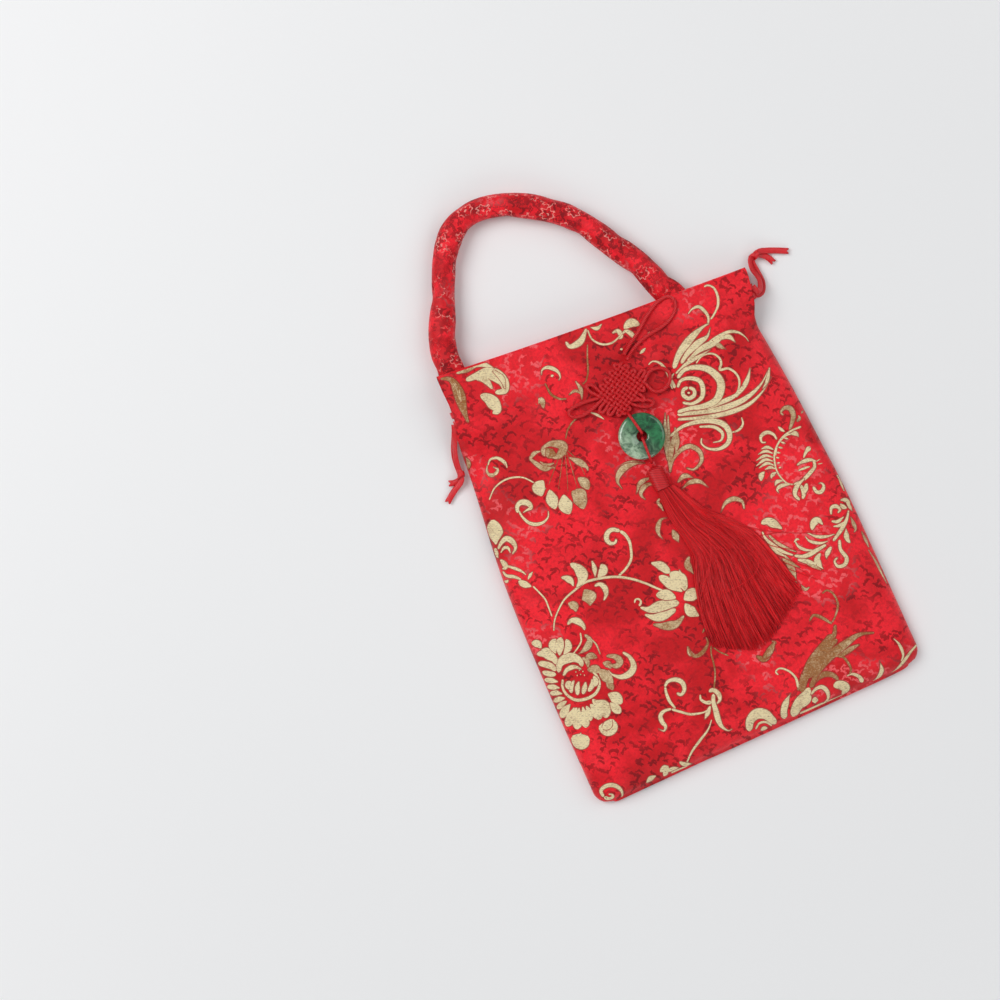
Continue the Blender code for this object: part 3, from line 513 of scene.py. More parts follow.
def brocade_gold(name):
    """Flat gold and cream weft, brighter and drier than the ground: fine ribs, short dark ties, and a thin
    red outline where each figure ends."""
    mat, tree, shader = new_material(name)
    place = place_of(tree, "Object")
    split = add(tree, "ShaderNodeSeparateXYZ", {0: place})
    own = add(tree, "ShaderNodeSeparateXYZ", {0: place_of(tree, "UV")})
    patches = add(tree, "ShaderNodeTexNoise", {"Vector": place, "Scale": 0.16, "Detail": 3.0,
                                               "Roughness": 0.6})
    share = calc(tree, "MULTIPLY_ADD", patches.outputs["Fac"], 1.5,
                 calc(tree, "SUBTRACT", own.outputs[1], 0.80), clamp=True)
    glint = add(tree, "ShaderNodeTexNoise", {"Vector": place, "Scale": 1.0, "Detail": 2.0, "Roughness": 0.7})
    share = calc(tree, "MULTIPLY_ADD", calc(tree, "SUBTRACT", glint.outputs["Fac"], 0.5), 1.5, share,
                 clamp=True)
    base = blend_colour(tree, share, colour("#A5672F"), colour("#FFEDBC"))
    wander = add(tree, "ShaderNodeTexNoise", {"Vector": place, "Scale": 0.32, "Detail": 2.0})
    along = calc(tree, "MULTIPLY_ADD", split.outputs[1], 0.92, calc(tree, "MULTIPLY", split.outputs[0], 0.40))
    along = calc(tree, "MULTIPLY_ADD", wander.outputs["Fac"], 2.6, along)
    across = calc(tree, "MULTIPLY_ADD", split.outputs[0], 0.92,
                  calc(tree, "MULTIPLY", split.outputs[1], -0.40))
    rib = calc(tree, "SINE", calc(tree, "MULTIPLY", along, math.tau / GOLD_RIB))
    lines = calc(tree, "MULTIPLY_ADD", rib, 0.5, 0.5)
    row = calc(tree, "FLOOR", calc(tree, "DIVIDE", along, TIE_ROW))
    shift = calc(tree, "MULTIPLY", calc(tree, "FLOORED_MODULO", calc(tree, "MULTIPLY", row, 7.0), 5.0), 0.62)
    spot = calc(tree, "FLOORED_MODULO", calc(tree, "ADD", across, shift), TIE_PITCH)
    spot = calc(tree, "ABSOLUTE", calc(tree, "SUBTRACT", spot, TIE_PITCH / 2))
    within = calc(tree, "FLOORED_MODULO", along, TIE_ROW)
    within = calc(tree, "ABSOLUTE", calc(tree, "SUBTRACT", within, TIE_ROW / 2))
    tie = calc(tree, "MULTIPLY", calc(tree, "SUBTRACT", 1.0, step_of(tree, spot, 0.55, 0.95)),
               calc(tree, "SUBTRACT", 1.0, step_of(tree, within, 0.08, 0.22)))
    strewn = add(tree, "ShaderNodeTexNoise", {"Vector": place, "Scale": 0.5, "Detail": 2.0})
    tie = calc(tree, "MULTIPLY", tie, step_of(tree, strewn.outputs["Fac"], 0.42, 0.60))
    base = blend_colour(tree, calc(tree, "MULTIPLY", lines, 0.16), base, colour("#8A5A28"))
    base = blend_colour(tree, calc(tree, "MULTIPLY", tie, 0.55), base, colour("#6E3A22"))
    rim = calc(tree, "SUBTRACT", 1.0, step_of(tree, own.outputs[0], 0.65, 1.15))
    base = blend_colour(tree, calc(tree, "MULTIPLY", rim, 0.92), base, colour("#A8040F"))
    rough = calc(tree, "MULTIPLY_ADD", share, 0.16, 0.40)
    join(tree, shader, base, rough, calc(tree, "SUBTRACT", lines, tie), 0.6, 0.0002)
    shader.inputs["Metallic"].default_value = 0.10
    shader.inputs["Specular IOR Level"].default_value = 0.5
    return mat


def satin(name, source="UV"):
    """Woven satin ribbon: strong shine along its length, fine ribs across, a tight selvedge."""
    mat, tree, shader = new_material(name)
    place = place_of(tree, source)
    threads = weave(tree, place, 0.3)
    grain = add(tree, "ShaderNodeTexNoise", {"Vector": place, "Scale": 0.4, "Detail": 2.0})
    base = blend_colour(tree, grain.outputs["Fac"], colour("#BE0812"), colour("#F02630"))
    rough = calc(tree, "MULTIPLY_ADD", grain.outputs["Fac"], 0.12, 0.24)
    join(tree, shader, base, rough, threads, 0.3, 0.0001)
    return mat


def silk_cord(name, deep="#B8040E", bright="#F01A24"):
    """Twisted nylon knotting cord: fine slanting strands, painted lighter on their crowns and with painted
    shade in the grooves between them, and a soft shine.
    """
    mat, tree, shader = new_material(name)
    place = place_of(tree, "UV")
    split = add(tree, "ShaderNodeSeparateXYZ", {0: place})
    lean = calc(tree, "MULTIPLY_ADD", split.outputs[0], math.tau / 1.1,
                calc(tree, "MULTIPLY", split.outputs[1], math.tau * 2 / 5.3))
    strands = calc(tree, "MULTIPLY_ADD", calc(tree, "SINE", lean), 0.5, 0.5)
    grain = add(tree, "ShaderNodeTexNoise", {"Vector": place, "Scale": 1.4, "Detail": 2.0})
    # Painted light and shade: each strand lighter on its crown, with painted shade in the groove of the twist
    base = blend_colour(tree, strands, colour(deep), colour(bright))
    base = blend_colour(tree, calc(tree, "MULTIPLY", grain.outputs["Fac"], 0.3), base, colour("#A0040E"))
    rough = calc(tree, "MULTIPLY_ADD", grain.outputs["Fac"], 0.2, 0.34)
    join(tree, shader, base, rough, strands, 0.7, 0.0003)
    return mat


def resample(route, step):
    """Points at an even step on a smooth curve through the route's own points."""
    points = [Vector(p) for p in route]
    ends = [2 * points[0] - points[1]] + points + [2 * points[-1] - points[-2]]
    fine = []
    for a, b, c, d in zip(ends, ends[1:], ends[2:], ends[3:]):
        for k in range(16):
            t = k / 16
            fine.append(0.5 * (2 * b + (c - a) * t + (2 * a - 5 * b + 4 * c - d) * t * t
                               + (3 * b - a - 3 * c + d) * t ** 3))
    fine.append(points[-1])
    total = sum((q - p).length for p, q in zip(fine, fine[1:]))
    count = max(2, round(total / step))
    even, walked, k = [fine[0]], 0.0, 0
    for n in range(1, count):
        target = total * n / count
        while walked + (fine[k + 1] - fine[k]).length < target:
            walked += (fine[k + 1] - fine[k]).length
            k += 1
        run = fine[k + 1] - fine[k]
        even.append(fine[k] + run * ((target - walked) / run.length))
    return even + [fine[-1]]


def frames(points):
    """Tangent, side and up along a route, turning no more than the route does."""
    tangents = []
    for i in range(len(points)):
        ahead = points[min(i + 1, len(points) - 1)] - points[max(i - 1, 0)]
        tangents.append(ahead.normalized())
    up = Vector((0, 0, 1))
    if abs(tangents[0].dot(up)) > 0.9:
        up = Vector((0, 1, 0))
    found = []
    for tangent in tangents:
        side = tangent.cross(up).normalized()
        up = side.cross(tangent).normalized()
        found.append((tangent, side, up))
    return found


def sweep(bm, points, section, caps=True):
    """Skin along a route: section(i, length) gives (side, up) offsets. UV holds metres round and along."""
    uv = bm.loops.layers.uv.verify()
    rings, lengths, length = [], [], 0.0
    for i, (point, (tangent, side, up)) in enumerate(zip(points, frames(points))):
        if i:
            length += (point - points[i - 1]).length
        lengths.append(length)
        rings.append([bm.verts.new(point + side * a + up * b) for a, b in section(i, length)])
    count = len(rings[0])
    round_lengths = [0.0]
    for k in range(count):
        round_lengths.append(round_lengths[-1] + (rings[0][k].co - rings[0][(k + 1) % count].co).length)
    for i, (one, two) in enumerate(zip(rings, rings[1:])):
        for k in range(count):
            n = (k + 1) % count
            face = bm.faces.new((one[k], one[n], two[n], two[k]))
            spots = ((round_lengths[k], lengths[i]), (round_lengths[k + 1], lengths[i]),
                     (round_lengths[k + 1], lengths[i + 1]), (round_lengths[k], lengths[i + 1]))
            for loop, spot in zip(face.loops, spots):
                loop[uv].uv = spot
    if caps:
        bm.faces.new(rings[0][::-1])
        bm.faces.new(rings[-1])
    return rings


def round_section(radius, sides):
    """Round section of a cord for sweep."""
    ring = [(math.cos(math.tau * k / sides), math.sin(math.tau * k / sides)) for k in range(sides)]
    return lambda i, length: [(radius * a, radius * b) for a, b in ring]


def round_cord(name, route, radius, mat, body, sides=10):
    """Cord along an open route."""
    bm = bmesh.new()
    sweep(bm, route, round_section(radius, sides))
    return new_object(bm, name, mat, body)


def highest(x0, x1, y0, y1, steps=8):
    """The frame's highest point in a rectangle of the front."""
    return max(front(x0 + (x1 - x0) * i / steps, y0 + (y1 - y0) * j / steps)
               for i in range(steps + 1) for j in range(steps + 1))


# Stuffed handle, from the frame
HANDLE_RADIUS = 0.0070
FOOT_WIDTH = 0.0170
FOOT_HEIGHT = 0.0080
FOOT_DEPTH = 0.022
GAP = 0.0003
HANDLE_ROUTE = ((-0.0850, 0.1480), (-0.0805, 0.1600), (-0.0750, 0.1720), (-0.0700, 0.1830),
                (-0.0635, 0.1955), (-0.0555, 0.2065), (-0.0465, 0.2130), (-0.0360, 0.2148),
                (-0.0245, 0.2130), (-0.0120, 0.2080), (0.0000, 0.2010), (0.0105, 0.1925),
                (0.0205, 0.1800), (0.0305, 0.1635), (0.0395, 0.1475))


def handle_spots(step):
    """Places along the handle's middle, from its left foot over the arch to its right foot."""
    left_y, right_y = mouth_line(FOOT_LEFT_X), mouth_line(FOOT_RIGHT_X)
    inside = HEM + GAP + FOOT_HEIGHT / 2
    route = [(FOOT_LEFT_X - 0.0006, left_y - FOOT_DEPTH, inside), (FOOT_LEFT_X, left_y - 0.008, inside),
             (FOOT_LEFT_X + 0.0002, left_y + 0.004, inside)]
    route += [(x, y, HANDLE_RADIUS) for x, y in HANDLE_ROUTE]
    route += [(FOOT_RIGHT_X - 0.0050, right_y + 0.009, inside), (FOOT_RIGHT_X - 0.0010, right_y, inside),
              (FOOT_RIGHT_X + 0.0015, right_y - 0.009, inside),
              (FOOT_RIGHT_X + 0.0030, right_y - FOOT_DEPTH, inside)]
    return resample(route, step)


def handle_form(spots):
    """Centre, half width and half height of the handle at each spot: round, but flat inside the mouth."""
    forms = []
    for spot in spots:
        over = spot.y - mouth_line(spot.x)
        out = ramp(over, -0.002, 0.022)
        width = FOOT_WIDTH / 2 + (HANDLE_RADIUS - FOOT_WIDTH / 2) * out
        height = FOOT_HEIGHT / 2 + (HANDLE_RADIUS - FOOT_HEIGHT / 2) * out
        raised = (HEM + GAP) * (1 - ramp(over, 0.002, 0.020))
        level = max(spot.z, height) if over <= 0.006 else height + raised
        forms.append((Vector((spot.x, spot.y, level)), width, height))
    return forms


# The handle's mesh, and the wrinkles of its cloth: a slow slanting twist, folds crushed inside the bend
# and the tube's seam. Bulges are (share of the length, extra radius) pairs
HANDLE_STEP = 0.0009
HANDLE_SIDES = 48
TWIST_TURNS = 6.5
TWIST_DEPTH = 0.0008
CRUSH_FOLDS = 24
CRUSH_DEPTH = 0.00034
SEAM_PINCH = 0.0006
FLOOR_GAP = 0.0002
HANDLE_BULGES = ((0.0, 0.0), (0.10, 0.0), (0.17, 0.0012), (0.25, -0.0002), (0.36, 0.0005), (0.46, -0.0003),
                 (0.56, 0.0004), (0.68, -0.0002), (0.78, 0.0004), (0.88, 0.0), (1.0, 0.0))


def handle_point(form, tangent, angle, share):
    """Point of the handle's cloth: wrinkled on the inside of the bend, with a slanting twist."""
    centre, width, height = form
    across = Vector((tangent.y, -tangent.x, 0)).normalized()
    swell = smooth(HANDLE_BULGES, share)
    inner = 0.5 + 0.5 * math.cos(angle)
    twist = math.tau * (share * TWIST_TURNS + angle / math.tau) + 1.2 * math.sin(7 * share)
    wrinkle = -TWIST_DEPTH * (0.5 + 0.5 * math.sin(twist)) ** 6
    crush = math.sin(math.tau * share * CRUSH_FOLDS + 3 * math.sin(17 * share) + 1.4 * angle)
    crushed = CRUSH_DEPTH * (0.5 + 0.5 * crush) ** 2 * (0.25 + 0.75 * inner)
    wrinkle -= crushed * math.sin(11 * share + 0.6) ** 2
    seam = -SEAM_PINCH * math.exp(-((math.remainder(angle + 2.4 - 2.2 * share, math.tau)) / 0.10) ** 2)
    grow = 1 + (swell + wrinkle + seam) / HANDLE_RADIUS
    low = max(height * grow * math.sin(angle), -(centre.z - FLOOR_GAP))
    return centre + across * (width * grow * math.cos(angle)) + Vector((0, 0, low))


def handle_bmesh(step, sides):
    """Cloth tube of the handle, closed at both feet. UV holds metres round and along."""
    bm = bmesh.new()
    uv = bm.loops.layers.uv.verify()
    spots = handle_spots(step)
    forms = handle_form(spots)
    rings, length, lengths = [], 0.0, []
    for i, form in enumerate(forms):
        tangent = spots[min(i + 1, len(spots) - 1)] - spots[max(i - 1, 0)]
        if i:
            length += (spots[i] - spots[i - 1]).length
        lengths.append(length)
        share = i / (len(forms) - 1)
        rings.append([bm.verts.new(handle_point(form, tangent, math.tau * k / sides, share))
                      for k in range(sides)])
    girth = math.tau * HANDLE_RADIUS
    for i, (one, two) in enumerate(zip(rings, rings[1:])):
        for k in range(sides):
            n = (k + 1) % sides
            face = bm.faces.new((one[k], one[n], two[n], two[k]))
            spots_uv = ((k, i), (k + 1, i), (k + 1, i + 1), (k, i + 1))
            for loop, (a, b) in zip(face.loops, spots_uv):
                loop[uv].uv = (girth * a / sides, lengths[b])
    bm.faces.new(rings[0][::-1])
    bm.faces.new(rings[-1])
    return bm


# Ribbon ends and their knots: the frame's own routes, from the casing to the cut ends
RIBBON_WIDTH = 0.0035
RIBBON_THICK = 0.0004
RIBBON_STEP = 0.0011
RIBBON_CUP = 0.00018
RIBBON_NOTCH = 0.0012
RIBBON_OUT = 0.0009
RIBBON_INSIDE = 0.006
LEFT_RUN_OFFSET = 0.0060
RIGHT_RUN_OFFSET = 0.0114
LEFT_LONG = ((-0.0992, 0.0985, 0.0125), (-0.1019, 0.0925, 0.0080), (-0.1034, 0.0880, 0.0054),
             (-0.1044, 0.0830, 0.0043), (-0.1050, 0.0777, 0.0041), (-0.1062, 0.0738, 0.0036),
             (-0.1125, 0.0700, 0.0017), (-0.1186, 0.0655, 0.0012))
LEFT_SHORT = ((-0.0998, 0.0985, 0.0030), (-0.1023, 0.0935, 0.0027), (-0.1040, 0.0885, 0.0026),
              (-0.1047, 0.0830, 0.0026), (-0.1050, 0.0777, 0.0027), (-0.1064, 0.0752, 0.0018),
              (-0.1098, 0.0746, 0.0012), (-0.1134, 0.0756, 0.0012))
RIGHT_LONG = ((0.0958, 0.1062, 0.0108), (0.0986, 0.1080, 0.0085), (0.1000, 0.1130, 0.0062),
              (0.0988, 0.1195, 0.0049), (0.1000, 0.1250, 0.0044), (0.1033, 0.1266, 0.0041),
              (0.1075, 0.1274, 0.0034), (0.1150, 0.1248, 0.0017), (0.1230, 0.1210, 0.0013))
RIGHT_SHORT = ((0.0950, 0.1052, 0.0028), (0.0990, 0.1052, 0.0024), (0.1016, 0.1105, 0.0020),
               (0.1012, 0.1180, 0.0018), (0.1008, 0.1240, 0.0024), (0.1033, 0.1266, 0.0027),
               (0.1075, 0.1252, 0.0014), (0.1105, 0.1222, 0.0012), (0.1124, 0.1182, 0.0012))
ENDS = {"left": (-1, LEFT_RUN_OFFSET, LEFT_LONG, LEFT_SHORT, (-0.1050, 0.0777, 0.0034, 78)),
        "right": (1, RIGHT_RUN_OFFSET, RIGHT_LONG, RIGHT_SHORT, (0.1033, 0.1266, 0.0034, 18))}


def run_ends(side, offset):
    """Where a ribbon leaves the front's casing and the back's, at its own side."""
    y_guess = casing_line(side * HALF_WIDTH) + offset
    x = edge_x(side, y_guess)
    y = casing_line(x) + offset
    middle = CLOTH + CASING_GAP / 2
    return Vector((x, y, front(x, y) - middle)), Vector((x, y, middle))


def ribbon(name, points, twist, mat, body, width=RIBBON_WIDTH, notch=True):
    """Flat satin band along points: twist(share) turns it about its own length, in degrees."""
    bm = bmesh.new()
    uv = bm.loops.layers.uv.verify()
    across_steps = 4
    rows, length, lengths = [], 0.0, []
    for i, (point, (tangent, side, up)) in enumerate(zip(points, frames(points))):
        share = i / (len(points) - 1)
        if i:
            length += (point - points[i - 1]).length
        lengths.append(length)
        flat = Vector((tangent.y, -tangent.x, 0))
        flat = flat.normalized() if flat.length > 0.05 else side
        turned = Matrix.Rotation(math.radians(twist(share)), 3, tangent) @ flat
        normal = turned.cross(tangent).normalized()
        row = []
        for k in range(across_steps + 1):
            a = k / across_steps - 0.5
            cup = RIBBON_CUP * (1 - (2 * a) ** 2)
            place = point + turned * (width * a) + normal * cup
            low = RIBBON_THICK / 2 + 0.0001
            if place.z < low:
                place.z = low
            row.append(bm.verts.new(place))
        rows.append(row)
    for i, (one, two) in enumerate(zip(rows, rows[1:])):
        for k in range(across_steps):
            face = bm.faces.new((one[k], one[k + 1], two[k + 1], two[k]))
            spots = ((k, i), (k + 1, i), (k + 1, i + 1), (k, i + 1))
            for loop, (a, b) in zip(face.loops, spots):
                loop[uv].uv = (width * a / across_steps, lengths[b])
    if notch:
        rows[-1][across_steps // 2].co += (points[-2] - points[-1]).normalized() * RIBBON_NOTCH
    obj = new_object(bm, name, mat, None)
    thick = obj.modifiers.new("thickness", "SOLIDIFY")
    thick.thickness = RIBBON_THICK
    thick.offset = 0
    if body:
        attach(obj, body)
    return obj


# Pendant: the frame's places, and a finer weave than the frame's
CORD_RADIUS = 0.00085
LINK_STEP = 0.0007
KNOT_X = 0.0
KNOT_Y = 0.0855
KNOT_TURN = math.radians(32)
KNOT_PITCH = 0.0031
KNOT_LIFT = 0.0009
FINE_PITCH = 0.00236
FINE_ROWS = 8
FINE_COLUMNS = 10
FINE_RADIUS = 0.00108
FINE_LIFT = 0.00078
FINE_STEP = 0.00055
RING_Y = 0.0560
RING_RADIUS = 0.01365
RING_HOLE = 0.0030
RING_THICK = 0.0046
RIM_WIDTH = 0.0022
RIM_FALL = 0.0018
RING_CORD_X = -0.0022
TASSEL_X = -0.0010
TASSEL_SLACK = 0.0012
NECK_RADIUS = 0.0042
NECK_TIP = 0.0002
NECK_LENGTH = 0.0026
HEAD_BACK = 0.00025
SWING_CORD_RADIUS = 0.00079
BAND_RADIUS = 0.0052
BAND_LENGTH = 0.0124
SKIRT_LENGTH = 0.102
SKIRT_THICK = 0.0042
SKIRT_THIN = 0.0016
SKIRT_FALL = 0.030
SKIRT_LEFT = ((0.0, -0.0046), (0.18, -0.0040), (0.33, -0.0010), (0.45, 0.0000), (0.60, -0.0050),
              (0.80, -0.0090), (1.0, -0.0100))
SKIRT_RIGHT = ((0.0, 0.0060), (0.15, 0.0130), (0.25, 0.0180), (0.35, 0.0270), (0.50, 0.0370),
               (0.70, 0.0430), (0.90, 0.0475), (1.0, 0.0500))
SKIRT_ENDS = ((0.0, 0.94), (0.40, 1.05), (0.65, 0.98), (0.85, 0.90), (1.0, 0.84))
HANGING_STEP = 0.0012
HANGING_ROUTE = ((0.0096, 0.0998), (0.0160, 0.1042), (0.0250, 0.1076), (0.0380, 0.1098),
                 (0.0455, 0.1140), (0.0482, 0.1195), (0.0455, 0.1238), (0.0390, 0.1232),
                 (0.0310, 0.1188), (0.0230, 0.1125), (0.0160, 0.1080), (0.0092, 0.1032))


def knot_spot(u, v, z):
    """A place in the knot's own turned grid."""
    c, s = math.cos(KNOT_TURN), math.sin(KNOT_TURN)
    return Vector((KNOT_X + u * c - v * s, KNOT_Y + u * s + v * c, z))


def ear(start, end, out, reach, bulge=0.0, lean=0.0):
    """A loop that the cord makes outside the weave, from one strand's end to the next one's start."""
    middle, half = (start + end) / 2, (start - end) / 2
    along = half.normalized()
    steps = 10 if reach < 2 * KNOT_PITCH else 20
    points = []
    for k in range(1, steps):
        a = math.pi * k / steps
        sway = half * math.cos(a) + along * (bulge * math.sin(a) * math.cos(a) + lean * math.sin(a))
        points.append(middle + sway + out * (reach * math.sin(a)))
    return points


# Reach, bulge and lean of the loops that stand out of the weave; the others are plain turns
ROW_EARS = {0: (0.0175, 0.0058, 0.0085), 2: (0.0060, 0.0012, 0.0), 4: (0.0046, 0.0006, 0.0),
            5: (0.0050, 0.0006, 0.0)}
COLUMN_EARS = {3: (0.0050, 0.0006, 0.0), 5: (0.0105, 0.0032, 0.0055), 8: (0.0078, 0.0020, 0.0)}
PLAIN_EAR = (0.0016, 0.0, 0.0)
WING = ((0.0065, 0.0016), (0.0112, -0.0022), (0.0118, -0.0078), (0.0070, -0.0112), (0.0012, -0.0105),
        (-0.0020, -0.0062))
EAR_START = 0.0012


def fine_knot_route(height, ring_end):
    """One cord that weaves all the rows, then all the columns, over and under by turns."""
    half_u = (FINE_COLUMNS - 1) / 2 * FINE_PITCH
    half_v = (FINE_ROWS - 1) / 2 * FINE_PITCH
    edge_u, edge_v = half_u + EAR_START, half_v + EAR_START
    columns = [half_u - j * FINE_PITCH for j in range(FINE_COLUMNS)]
    rows = [half_v - i * FINE_PITCH for i in range(FINE_ROWS)]
    u_out = knot_spot(1, 0, 0) - knot_spot(0, 0, 0)
    v_out = knot_spot(0, 1, 0) - knot_spot(0, 0, 0)
    points = [knot_spot(edge_u + FINE_PITCH / 2, rows[0], height)]
    for i, v in enumerate(rows):
        way = -1 if i % 2 == 0 else 1
        for j in (range(FINE_COLUMNS) if way < 0 else reversed(range(FINE_COLUMNS))):
            points.append(knot_spot(columns[j], v, height + FINE_LIFT * (1 if (i + j) % 2 == 0 else -1)))
        if i < FINE_ROWS - 1:
            here, there = knot_spot(way * edge_u, v, height), knot_spot(way * edge_u, rows[i + 1], height)
            points += [here] + ear(here, there, u_out * way, *ROW_EARS.get(i, PLAIN_EAR)) + [there]
    corner = (edge_u, -edge_v)
    points.append(knot_spot(edge_u, rows[-1], height))
    points += [knot_spot(corner[0] + du, corner[1] + dv, height) for du, dv in WING]
    for j, u in enumerate(columns):
        way = 1 if j % 2 == 0 else -1
        if j == 0:
            points.append(knot_spot(u, -edge_v, height))
        for i in (reversed(range(FINE_ROWS)) if way > 0 else range(FINE_ROWS)):
            points.append(knot_spot(u, rows[i], height - FINE_LIFT * (1 if (i + j) % 2 == 0 else -1)))
        if j < FINE_COLUMNS - 1:
            here, there = knot_spot(u, way * edge_v, height), knot_spot(columns[j + 1], way * edge_v, height)
            points += [here] + ear(here, there, v_out * way, *COLUMN_EARS.get(j, PLAIN_EAR)) + [there]
    last = knot_spot(columns[-1], -edge_v, height + KNOT_PITCH / 4)
    stop = ring_end + (last - ring_end).normalized() * CORD_RADIUS
    return points + [last, stop]


def link_route(x_hole, y_hole, x_end, way, height, slack=0.0):
    """Closed loop of cord through the ring's hole and round its rim, towards +Y (1) or -Y (-1)."""
    rise = RING_THICK / 2 + GAP + CORD_RADIUS
    rim = RING_Y + way * RING_RADIUS
    end = rim + way * (2 * GAP + CORD_RADIUS + slack)
    half = [(y_hole, 0.35 * rise), (y_hole + way * 0.0009, rise), ((y_hole + rim) / 2, rise),
            (rim - way * 0.0021, rise), (rim + way * 0.0003, 0.76 * rise)]
    path = half + [(end, 0.0)] + [(y, -h) for y, h in reversed(half)]
    return [Vector((x_hole + (x_end - x_hole) * (y - y_hole) / (end - y_hole), y, height + h))
            for y, h in path]


def closed_cord(name, route, radius, mat, body):
    """Cord along a closed route."""
    loop = resample([*route, route[0]], LINK_STEP)
    bm = bmesh.new()
    sweep(bm, loop, round_section(radius, 10))
    return new_object(bm, name, mat, body)


def revolve(profile, steps, centre):
    """Turned body from a closed or open profile of (radius, height) pairs, by a full spin."""
    bm = bmesh.new()
    verts = [bm.verts.new((r, 0, z)) for r, z in profile]
    for a, b in zip(verts, verts[1:] + verts[:1]):
        bm.edges.new((a, b))
    bmesh.ops.spin(bm, geom=bm.verts[:] + bm.edges[:], axis=(0, 0, 1), cent=(0, 0, 0), steps=steps,
                   angle=math.tau, use_merge=True, dvec=(0, 0, 0))
    bmesh.ops.remove_doubles(bm, verts=bm.verts, dist=0.000002)
    bmesh.ops.translate(bm, verts=bm.verts, vec=centre)
    return bm


def jade(name):
    """Polished green jade: clouded and veined inside, with a clear, hard shine on its surface."""
    mat, tree, shader = new_material(name)
    place = place_of(tree, "Object")
    clouds = add(tree, "ShaderNodeTexNoise", {"Vector": place, "Scale": 0.16, "Detail": 5.0, "Roughness": 0.6,
                                              "Distortion": 0.8})
    veins = add(tree, "ShaderNodeTexNoise", {"Vector": place, "Scale": 0.45, "Detail": 4.0,
                                             "Distortion": 1.5})
    split = add(tree, "ShaderNodeSeparateXYZ", {0: place})
    side = calc(tree, "ADD", split.outputs[0], calc(tree, "MULTIPLY", split.outputs[1], 0.5))
    side = step_of(tree, side, 33, 14)
    depth = step_of(tree, clouds.outputs["Fac"], 0.35, 0.65)
    base = blend_colour(tree, depth, colour("#064022"), colour("#2C8450"))
    pale = calc(tree, "MULTIPLY", side, step_of(tree, clouds.outputs["Fac"], 0.30, 0.62))
    base = blend_colour(tree, calc(tree, "MULTIPLY", pale, 0.75), base, colour("#CFE0C4"))
    vein = calc(tree, "MULTIPLY", step_of(tree, veins.outputs["Fac"], 0.60, 0.72), 0.45)
    base = blend_colour(tree, vein, base, colour("#0A3F27"))
    join(tree, shader, base, calc(tree, "MULTIPLY_ADD", veins.outputs["Fac"], 0.06, 0.10))
    shader.inputs["Coat Weight"].default_value = 0.8
    shader.inputs["Coat Roughness"].default_value = 0.05
    shader.inputs["Subsurface Weight"].default_value = 0.15
    shader.inputs["Subsurface Radius"].default_value = (0.002, 0.003, 0.002)
    shader.inputs["IOR"].default_value = 1.6
    return mat


def skirt_under(x, y, start, height):
    """Height that the skirt's lowest threads lie at: the cloth, or near the band the band's own."""
    near = ramp(y, start - SKIRT_FALL, start)
    return (front(x, y) + GAP) * (1 - near) + max(height - NECK_RADIUS, front(x, y) + GAP) * near


def skirt_spot(s, t, start):
    """Place in the skirt at a share of its width and of its length."""
    left, right = smooth(SKIRT_LEFT, t), smooth(SKIRT_RIGHT, t)
    return left + (right - left) * s, start - SKIRT_LENGTH * t * smooth(SKIRT_ENDS, min(max(s, 0), 1))


def skirt_thickness(s, t):
    """Depth of the skirt's threads at a share of its width and of its length."""
    thick = SKIRT_THICK + (2 * NECK_RADIUS - SKIRT_THICK - 0.001) * (1 - ramp(t, 0.0, 0.10))
    thick += (SKIRT_THIN - thick) * ramp(t, 0.05, 0.45)
    return thick * (0.45 + 0.55 * math.sqrt(max(1 - (2 * s - 1) ** 2, 0.0)))


THREAD_RADIUS = 0.00026
THREADS = 560


def tassel_threads(start, height, count, seed=7):
    """Hundreds of fine silk threads that fan out of the band over the front."""
    chance = random.Random(seed)
    corners = (math.pi / 2, math.pi * 7 / 6, math.pi * 11 / 6)
    bm = bmesh.new()
    uv = bm.loops.layers.uv.verify()
    for n in range(count):
        s0 = (n + chance.random()) / count
        s1 = min(max(s0 + chance.gauss(0, 0.030), -0.015), 1.015)
        depth = chance.random() ** 0.6
        reach = 1 - 0.13 * chance.random() ** 2.2
        wave, pace = chance.gauss(0, 0.0007), chance.uniform(3, 8)
        lift = chance.random()
        rings = []
        steps = 22
        points = []
        for k in range(steps + 1):
            t = reach * k / steps
            s = s0 + (s1 - s0) * ramp(t, 0.0, 0.9)
            x, y = skirt_spot(s, t, start)
            x += wave * math.sin(pace * t + n) * ramp(t, 0.05, 0.5)
            thick = skirt_thickness(min(max(s, 0.0), 1.0), t)
            z = skirt_under(x, y, start, height) + THREAD_RADIUS + thick * depth
            z += 0.0005 * lift * ramp(t, 0.3, 0.9)
            z -= 0.0008 * ramp(t, 0.85, 1.0) * lift
            points.append(Vector((x, y, max(z, front(x, y) + THREAD_RADIUS))))
        length = 0.0
        for k, (point, (tangent, side, up)) in enumerate(zip(points, frames(points))):
            if k:
                length += (point - points[k - 1]).length
            radius = THREAD_RADIUS * (0.6 if k == steps else 1.0)
            ring = [point + side * (radius * math.cos(a)) + up * (radius * math.sin(a)) for a in corners]
            rings.append((length, [bm.verts.new(spot) for spot in ring]))
        for (low, one), (high, two) in zip(rings, rings[1:]):
            for k in range(3):
                j = (k + 1) % 3
                face = bm.faces.new((one[k], one[j], two[j], two[k]))
                spots = ((k, low), (k + 1, low), (k + 1, high), (k, high))
                for loop, (a, b) in zip(face.loops, spots):
                    loop[uv].uv = (0.0005 * a + 0.004 * n, b)
    return bm


